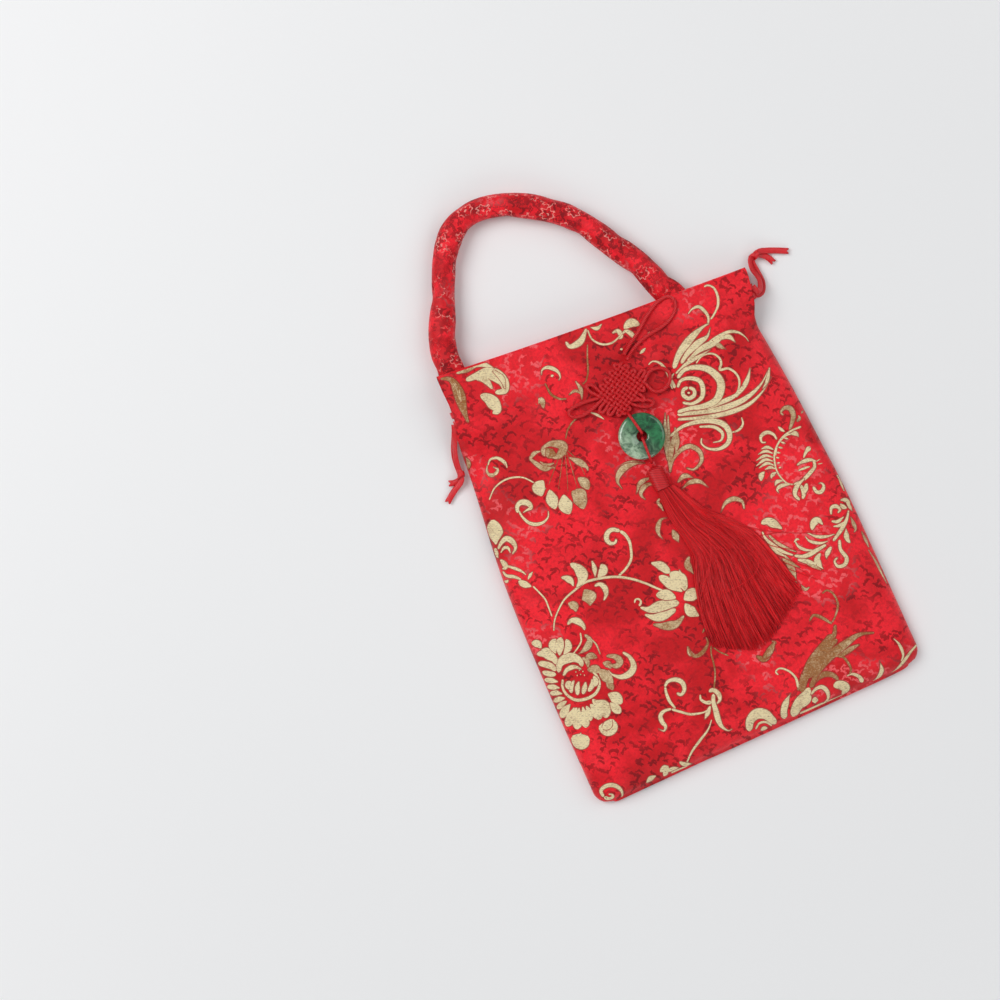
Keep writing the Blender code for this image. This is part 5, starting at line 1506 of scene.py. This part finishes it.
def lay_strokes(strokes, height, under=False):
    """Strokes as a thin raised weft that follows the surface under them, or over them on the back."""
    bm = bmesh.new()
    raise_by = -1 if under else 1
    uv = bm.loops.layers.uv.verify()
    for n, (tone, start, middle, end, points) in enumerate(strokes):
        rows = stroke_rings(points, [width * STROKE_SWELL for width in (start, middle, end)])
        parts = max(2, min(8, math.ceil(middle / STRIP_WIDTH)))
        rim = min(RIM_MOST, max(RIM_LEAST, RIM_SHARE * middle))
        lift = GOLD_LIFT + GOLD_STEP * (n % 12)
        grid = []
        for spot, across, half in rows:
            row = []
            for k in range(parts + 1):
                side = 2 * k / parts - 1
                point = (spot + across * (half * side)) * 0.001
                low = EDGE_DROP if abs(side) == 1 else 0.0
                x = 2 * CENTRE_X - point.x if under else point.x
                x, y, cut = on_cloth(x, point.y)
                vert = bm.verts.new((x, y, height(x, y) + raise_by * (lift - low)))
                row.append((vert, (half * (1 - abs(side)) / rim * 0.001, tone * 0.001), cut))
            grid.append(row)
        for one, two in zip(grid, grid[1:]):
            for k in range(parts):
                ring = (one[k], one[k + 1], two[k + 1], two[k])
                if all(cut for vert, at, cut in ring):
                    continue
                face = bm.faces.new([vert for vert, at, cut in ring])
                for loop, (vert, at, cut) in zip(face.loops, ring):
                    loop[uv].uv = at
    bmesh.ops.delete(bm, geom=[vert for vert in bm.verts if not vert.link_faces], context="VERTS")
    for face in bm.faces:
        face.normal_update()
        if face.normal.z * raise_by < 0:
            face.normal_flip()
    return bm


STRAY_STEP = 1.2

# Loose threads beside the skirt: height over the cloth at the start and end in millimetres, and the
# points on the right side's part
STRAY_ROUTES = (
    (4.2, 0.5, "20,630 150,690 300,750 480,790 650,800 815,795"),
    (4, 0.6, "120,720 250,810 330,835 450,810 560,790"),
    (4.4, 0.5, "60,650 250,780 420,880 560,950 700,1000 805,1035"),
    (4.6, 0.6, "100,700 300,850 450,950 600,1020 760,1080"),
    (5.2, 4.6, "150,900 260,890 370,910 405,960 385,1040 300,1110 200,1160"),
    (5.4, 4.6, "10,640 100,800 120,950 80,1100 60,1180"),
    (4.6, 1.2, "200,780 330,900 500,1080 610,1330"),
    (4.8, 1.6, "180,800 330,1000 480,1250 525,1410"),
    (4.3, 0.7, "40,640 230,790 430,920 640,1010 720,1060"),
    (4.2, 0.6, "90,690 280,800 500,880 660,905"),
    (4.8, 0.8, "150,760 360,960 560,1130 700,1180"),
)
STRAYS = tuple((start, end, on_bag(RIGHT_SIDE, spots)) for start, end, spots in STRAY_ROUTES)


def stray_threads():
    """The few threads that have left the skirt and lie across the cloth."""
    bm = bmesh.new()
    for start, end, points in STRAYS:
        line = catmull(points, STRAY_STEP)
        spots = []
        for k, spot in enumerate(line):
            x, y = spot.x * 0.001, spot.y * 0.001
            lift = start + (end - start) * ramp(k / (len(line) - 1), 0.0, 0.8)
            spots.append(Vector((x, y, skin(x, y) + lift * 0.001)))
        sweep(bm, spots, round_section(THREAD_RADIUS * 0.8, 4))
    return bm


class POUCH_PG_looks(bpy.types.PropertyGroup):
    """Sizes of the finish."""
    cloth_thickness: FloatProperty(name="Cloth thickness", description="Thickness of one layer of brocade",
                                   default=0.0009, min=0.0002, max=0.003, unit="LENGTH")
    thread_count: IntProperty(name="Tassel threads", description="Number of threads in the tassel's skirt",
                              default=THREADS, min=100, max=1200)
    light_power: FloatProperty(name="Light power", description="Power of the main soft light in watts",
                               default=13.5, min=1.0, max=200.0)
    floor_colour: FloatVectorProperty(name="Floor colour", description="Colour of the pale floor",
                                      default=(0.90, 0.90, 0.90), size=3, min=0.0, max=1.0, subtype="COLOR")


class POUCH_OT_stage(bpy.types.Operator):
    """Floor, soft lights and the camera at the photograph's viewing angle"""
    bl_idname = "pouch.stage"
    bl_label = "Stage"

    def execute(self, context):
        looks = context.scene.pouch_looks
        bm = bmesh.new()
        bmesh.ops.create_grid(bm, x_segments=2, y_segments=2, size=4.0)
        mat, tree, shader = new_material("pale paper floor")
        shader.inputs["Base Color"].default_value = (*looks.floor_colour, 1.0)
        shader.inputs["Roughness"].default_value = 0.9
        shader.inputs["Specular IOR Level"].default_value = 0.1
        spot = add(tree, "ShaderNodeVectorMath", {0: place_of(tree, "Object")}, operation="LENGTH")
        plain = add(tree, "ShaderNodeEmission", {"Color": (0.94, 0.94, 0.95, 1.0), "Strength": 1.0})
        fade = add(tree, "ShaderNodeMixShader", {0: step_of(tree, spot.outputs["Value"], *FLOOR_FADE),
                                                 1: shader.outputs[0], 2: plain.outputs[0]})
        tree.links.new(fade.outputs[0], next(n for n in tree.nodes if n.type == "OUTPUT_MATERIAL").inputs[0])
        floor = new_object(bm, "floor", mat, None, False)
        floor.location.z = -FLOOR_DROP
        for name, place, size, power in (("main light", (-0.75, 0.75, 1.25), 1.1, looks.light_power),
                                         ("fill light", (0.95, 0.15, 1.10), 1.3, looks.light_power * 0.36),
                                         ("low light", (-0.1, -1.1, 0.75), 0.9, looks.light_power * 0.22)):
            data = bpy.data.lights.new(name, "AREA")
            data.shape, data.size, data.energy = "DISK", size, power
            lamp = bpy.data.objects.new(name, data)
            context.scene.collection.objects.link(lamp)
            lamp.location = place
            aim = Vector((-0.02, 0.03, 0)) - Vector(place)
            lamp.rotation_euler = aim.to_track_quat("-Z", "Y").to_euler()
        world = bpy.data.worlds.new("studio")
        context.scene.world = world
        world.use_nodes = True
        tree = world.node_tree
        tree.nodes.clear()
        path = add(tree, "ShaderNodeLightPath")
        seen = calc(tree, "MAXIMUM", path.outputs["Is Camera Ray"], path.outputs["Is Transmission Ray"])
        soft = add(tree, "ShaderNodeBackground", {"Color": (0.95, 0.97, 1.0, 1.0), "Strength": 0.32})
        plain = add(tree, "ShaderNodeBackground", {"Color": (1, 1, 1, 1), "Strength": 1.0})
        mix = add(tree, "ShaderNodeMixShader", {0: seen, 1: soft.outputs[0], 2: plain.outputs[0]})
        add(tree, "ShaderNodeOutputWorld", {"Surface": mix.outputs[0]})
        data = bpy.data.cameras.new("camera")
        data.lens = VIEW_LENS
        data.sensor_width = VIEW_SENSOR
        camera = bpy.data.objects.new("camera", data)
        context.scene.collection.objects.link(camera)
        reach = VIEW_WIDTH * VIEW_LENS / VIEW_SENSOR
        camera.location = (VIEW_X, VIEW_Y, VIEW_LEVEL + reach)
        camera.rotation_euler = (0, 0, math.radians(VIEW_TURN))
        data.clip_start, data.clip_end = 0.05, 10
        context.scene.camera = camera
        context.scene.view_settings.view_transform = "Standard"
        return {"FINISHED"}


class POUCH_OT_ribbons(bpy.types.Operator):
    """Satin drawstrings: the part in the casing, the free ends and their knots"""
    bl_idname = "pouch.ribbons"
    bl_label = "Ribbons"

    def execute(self, context):
        red = satin("woven satin ribbon")
        plain = satin("woven satin ribbon in the casing", "Object")
        for name, (side, offset, long_route, short_route, wrap) in ENDS.items():
            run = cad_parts[f"drawstring_{name}_run"]
            run.material_slots[0].material = plain
            body = f"{name}_ends"
            out = Vector((side * RIBBON_OUT, 0, 0))
            knot = self.knot(name, wrap, red, body)
            for end, start, route in zip("ab", run_ends(side, offset), (long_route, short_route)):
                points = resample([start + out, *route], RIBBON_STEP)
                way = (lambda t: 70 * math.sin(3.0 * t) * (1 - t)) if end == "a" else (
                    lambda t: -40 * math.sin(2.5 * t) * (1 - t))
                strand = ribbon(f"ribbon_{name}_{end}", points, way, red, body)
                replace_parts(strand, f"drawstring_{name}_strand_{end}")
                inside = start - Vector((side * RIBBON_INSIDE, 0, 0))
                pull = ribbon(f"ribbon_{name}_{end}_drawn", resample([inside, start + out * 1.3], 0.0012),
                              lambda t: 0, red, None, notch=False)
                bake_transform(pull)
        return {"FINISHED"}

    def knot(self, name, wrap, mat, body):
        """Overhand knot of the ribbon: two crossing turns round both ends."""
        x, y, z, turn = wrap
        bm = bmesh.new()
        for lean, shift in ((26, -0.0008), (-30, 0.0008)):
            points = []
            for k in range(25):
                a = math.tau * k / 24 + 0.4
                spot = Vector((shift + 0.0007 * math.sin(a), 0.0021 * math.cos(a), 0.0023 * math.sin(a)))
                points.append(Matrix.Rotation(math.radians(lean), 3, "Z") @ spot)
            rows = []
            for point in points:
                outward = Vector((0, point.y, point.z)).normalized()
                row = []
                for k in range(5):
                    a = k / 4 - 0.5
                    cup = outward * 0.0002 * (1 - (2 * a) ** 2)
                    row.append(bm.verts.new(point + Vector((0.0026 * a, 0, 0)) + cup))
                rows.append(row)
            for one, two in zip(rows, rows[1:]):
                for k in range(4):
                    bm.faces.new((one[k], one[k + 1], two[k + 1], two[k]))
        bmesh.ops.rotate(bm, verts=bm.verts, matrix=Matrix.Rotation(math.radians(turn), 3, "Z"))
        bmesh.ops.translate(bm, verts=bm.verts, vec=(x, y, z))
        uv = bm.loops.layers.uv.verify()
        for face in bm.faces:
            for loop in face.loops:
                loop[uv].uv = (loop.vert.co.x + loop.vert.co.z, loop.vert.co.y)
        obj = new_object(bm, f"ribbon_{name}_knot", mat, None)
        thick = obj.modifiers.new("thickness", "SOLIDIFY")
        thick.thickness = RIBBON_THICK
        thick.offset = 0
        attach(obj, body)
        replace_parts(obj, f"drawstring_{name}_knot")
        return obj


class POUCH_OT_cloth(bpy.types.Operator):
    """Brocade bag with its hems, rolled sides and gold pattern"""
    bl_idname = "pouch.cloth"
    bl_label = "Cloth"

    def execute(self, context):
        looks = context.scene.pouch_looks
        bag = new_object(cloth_shell(), "brocade_bag", brocade_ground("silk brocade ground"), None)
        thick = bag.modifiers.new("thickness", "SOLIDIFY")
        thick.thickness = looks.cloth_thickness
        thick.offset = -1
        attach(bag, "pouch")
        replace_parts(bag, "pouch_cloth")
        weft = brocade_gold("gold silk weft")
        for name, height, under in (("front", skin, False), ("back", back_skin, True)):
            gold = new_object(lay_strokes(STROKES, height, under), f"brocade_gold_{name}", weft, "pouch")
        return {"FINISHED"}


class POUCH_OT_handle(bpy.types.Operator):
    """Stuffed brocade handle, wrinkled on the inside of its bend"""
    bl_idname = "pouch.handle"
    bl_label = "Handle"

    def execute(self, context):
        handle = new_object(handle_bmesh(HANDLE_STEP, HANDLE_SIDES), "stuffed_handle",
                            brocade_ground("silk brocade of the handle", "UV", 0.060, 0.75), "pouch")
        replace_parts(handle, "handle_cover", "handle_filling")
        return {"FINISHED"}


class POUCH_OT_pendant(bpy.types.Operator):
    """Knotted cord, jade ring and silk tassel"""
    bl_idname = "pouch.pendant"
    bl_label = "Pendant"

    def execute(self, context):
        looks = context.scene.pouch_looks
        red = silk_cord("twisted knotting cord")
        knot_z = highest(-0.031, 0.028, 0.068, 0.106) + GAP + KNOT_LIFT + CORD_RADIUS
        ring_z = highest(-0.014, 0.014, 0.040, 0.072) + 2 * GAP + 2 * CORD_RADIUS + RING_THICK / 2
        ring_link = link_route(0.0006, RING_Y + 0.0014, RING_CORD_X, 1, ring_z)
        tassel_link = link_route(-0.0004, RING_Y - 0.0014, TASSEL_X, -1, ring_z, TASSEL_SLACK)
        knot = round_cord("woven_knot", resample(fine_knot_route(knot_z, ring_link[5]), FINE_STEP),
                          FINE_RADIUS, red, "pouch", 8)
        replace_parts(knot, "pendant_knot")
        loop = [Vector((x, y, max(front(x, y), skin(x, y)) + 0.0002 + FINE_RADIUS))
                for x, y in HANGING_ROUTE]
        loop[0].z = loop[-1].z = knot_z + KNOT_LIFT
        points = resample(loop, HANGING_STEP)
        hanging = round_cord("hanging_loop_cord", points, FINE_RADIUS, red, "pouch")
        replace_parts(hanging, "hanging_loop")
        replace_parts(closed_cord("ring_cord_loop", ring_link, CORD_RADIUS, red, "ring"), "ring_cord")
        swing_cord = closed_cord("tassel_cord_loop", tassel_link, SWING_CORD_RADIUS, red, "ring")
        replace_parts(swing_cord, "tassel_cord")
        half = RING_THICK / 2
        profile = [(RING_HOLE, half - 0.0010), (RING_HOLE + 0.0003, half - 0.0003),
                   (RING_HOLE + 0.0010, half)]
        for k in range(13):
            a = math.radians(90 - 7.5 * k)
            profile.append((RING_RADIUS - RIM_WIDTH + RIM_WIDTH * math.cos(a),
                            half - RIM_FALL + RIM_FALL * math.sin(a)))
        profile += [(r, -z) for r, z in reversed(profile)]
        ring = new_object(revolve(profile, 96, (0, RING_Y, ring_z)), "jade_disc",
                          jade("polished green jade"), "ring")
        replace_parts(ring, "jade_ring")
        self.tassel(looks, tassel_link, ring_z)
        return {"FINISHED"}

    def tassel(self, looks, link, height):
        """Head, band and skirt below the cord's end, with the threads that have left the skirt."""
        silk = thread_silk("loose rayon silk")
        wound = silk_cord("wound silk thread", "#B0040E", "#EA1822")
        top = link[5].y - CORD_RADIUS - GAP
        neck = self.turned("tassel_head", top - HEAD_BACK, NECK_LENGTH - HEAD_BACK, lambda s: NECK_TIP
                           + (0.96 * NECK_RADIUS - NECK_TIP) * ramp(s, 0.05, 1.0) ** 1.5, height, wound, 24)
        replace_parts(neck, "tassel_neck")
        start = top - NECK_LENGTH - GAP
        band = self.turned("tassel_band_wound", start, BAND_LENGTH, lambda s: BAND_RADIUS - 0.00045
                           * (0.5 + 0.5 * math.cos(math.tau * 11 * s)) ** 2, height, wound, 132)
        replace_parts(band, "tassel_band")
        skirt_start = start - BAND_LENGTH - GAP
        threads = new_object(tassel_threads(skirt_start, height, looks.thread_count), "tassel_threads",
                             silk, "tassel")
        core = self.core(skirt_start, height, silk)
        strays = new_object(stray_threads(), "tassel_strays", silk, "tassel")
        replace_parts(threads, "tassel_skirt")

    def core(self, start, height, mat):
        """Dense middle of the skirt, so that no gap shows between its threads."""
        bm = bmesh.new()
        uv = bm.loops.layers.uv.verify()
        across, along = 60, 34
        faces = []
        for upper in (False, True):
            grid = []
            for i in range(across + 1):
                s = i / across
                column = []
                for k in range(along + 1):
                    t = 0.93 * k / along
                    x, y = skirt_spot(0.02 + 0.96 * s, t, start)
                    low = skirt_under(x, y, start, height)
                    ridge = 0.0003 * math.sin(math.tau * 30 * s) * ramp(t, 0, 0.05)
                    thick = skirt_thickness(0.02 + 0.96 * s, t) * 0.72 * (1 - 0.8 * ramp(t, 0.84, 0.93))
                    column.append(bm.verts.new((x, y, low + (thick + ridge if upper else 0.0001))))
                grid.append(column)
            faces.append(grid)
            for one, two in zip(grid, grid[1:]):
                for k in range(along):
                    bm.faces.new((one[k], one[k + 1], two[k + 1], two[k]))
        for face in bm.faces:
            for loop in face.loops:
                co = loop.vert.co
                loop[uv].uv = (co.x * 8, co.y)
        low, high = faces
        rim_low = low[0] + [c[-1] for c in low[1:]] + low[-1][-2::-1] + [c[0] for c in low[-2:0:-1]]
        rim_high = high[0] + [c[-1] for c in high[1:]] + high[-1][-2::-1] + [c[0] for c in high[-2:0:-1]]
        for k in range(len(rim_low)):
            n = (k + 1) % len(rim_low)
            bm.faces.new((rim_low[k], rim_low[n], rim_high[n], rim_high[k]))
        return new_object(bm, "tassel_skirt_core", mat, "tassel")

    def turned(self, name, start, length, radius, height, mat, steps):
        """Wound body along -Y, pressed to the tassel's own height."""
        bm = bmesh.new()
        uv = bm.loops.layers.uv.verify()
        sides, rings = 40, []
        for k in range(steps + 1):
            s = length * k / steps
            wide = radius(s / length)
            tall = min(wide, NECK_RADIUS)
            angles = [math.tau * n / sides for n in range(sides)]
            rings.append([bm.verts.new((TASSEL_X + wide * math.cos(a), start - s,
                                        height + tall * math.sin(a))) for a in angles])
        for i, (one, two) in enumerate(zip(rings, rings[1:])):
            for k in range(sides):
                n = (k + 1) % sides
                face = bm.faces.new((one[k], one[n], two[n], two[k]))
                for loop, (a, b) in zip(face.loops, ((k, i), (k + 1, i), (k + 1, i + 1), (k, i + 1))):
                    loop[uv].uv = (length * b / steps, math.tau * BAND_RADIUS * a / sides)
        bm.faces.new(rings[0][::-1])
        bm.faces.new(rings[-1])
        return new_object(bm, name, mat, "tassel")


class POUCH_PT_panel(bpy.types.Panel):
    """Buttons and sizes of the pouch"""
    bl_idname = "POUCH_PT_panel"
    bl_label = "Pouch"
    bl_space_type = "VIEW_3D"
    bl_region_type = "UI"
    bl_category = "Pouch"

    def draw(self, context):
        looks = context.scene.pouch_looks
        for key in ("cloth_thickness", "thread_count", "light_power", "floor_colour"):
            self.layout.prop(looks, key)
        for operator in OPERATORS:
            self.layout.operator(operator.bl_idname)


OPERATORS = (POUCH_OT_stage, POUCH_OT_ribbons, POUCH_OT_cloth, POUCH_OT_handle, POUCH_OT_pendant)


def register():
    for item in (POUCH_PG_looks, *OPERATORS, POUCH_PT_panel):
        bpy.utils.register_class(item)
    bpy.types.Scene.pouch_looks = PointerProperty(type=POUCH_PG_looks)


def unregister():
    del bpy.types.Scene.pouch_looks
    for item in reversed((POUCH_PG_looks, *OPERATORS, POUCH_PT_panel)):
        bpy.utils.unregister_class(item)


def main():
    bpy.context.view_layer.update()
    register()
    bpy.ops.pouch.stage()
    bpy.ops.pouch.ribbons()
    bpy.ops.pouch.cloth()
    bpy.ops.pouch.handle()
    bpy.ops.pouch.pendant()


if __name__ == "__main__":
    main()
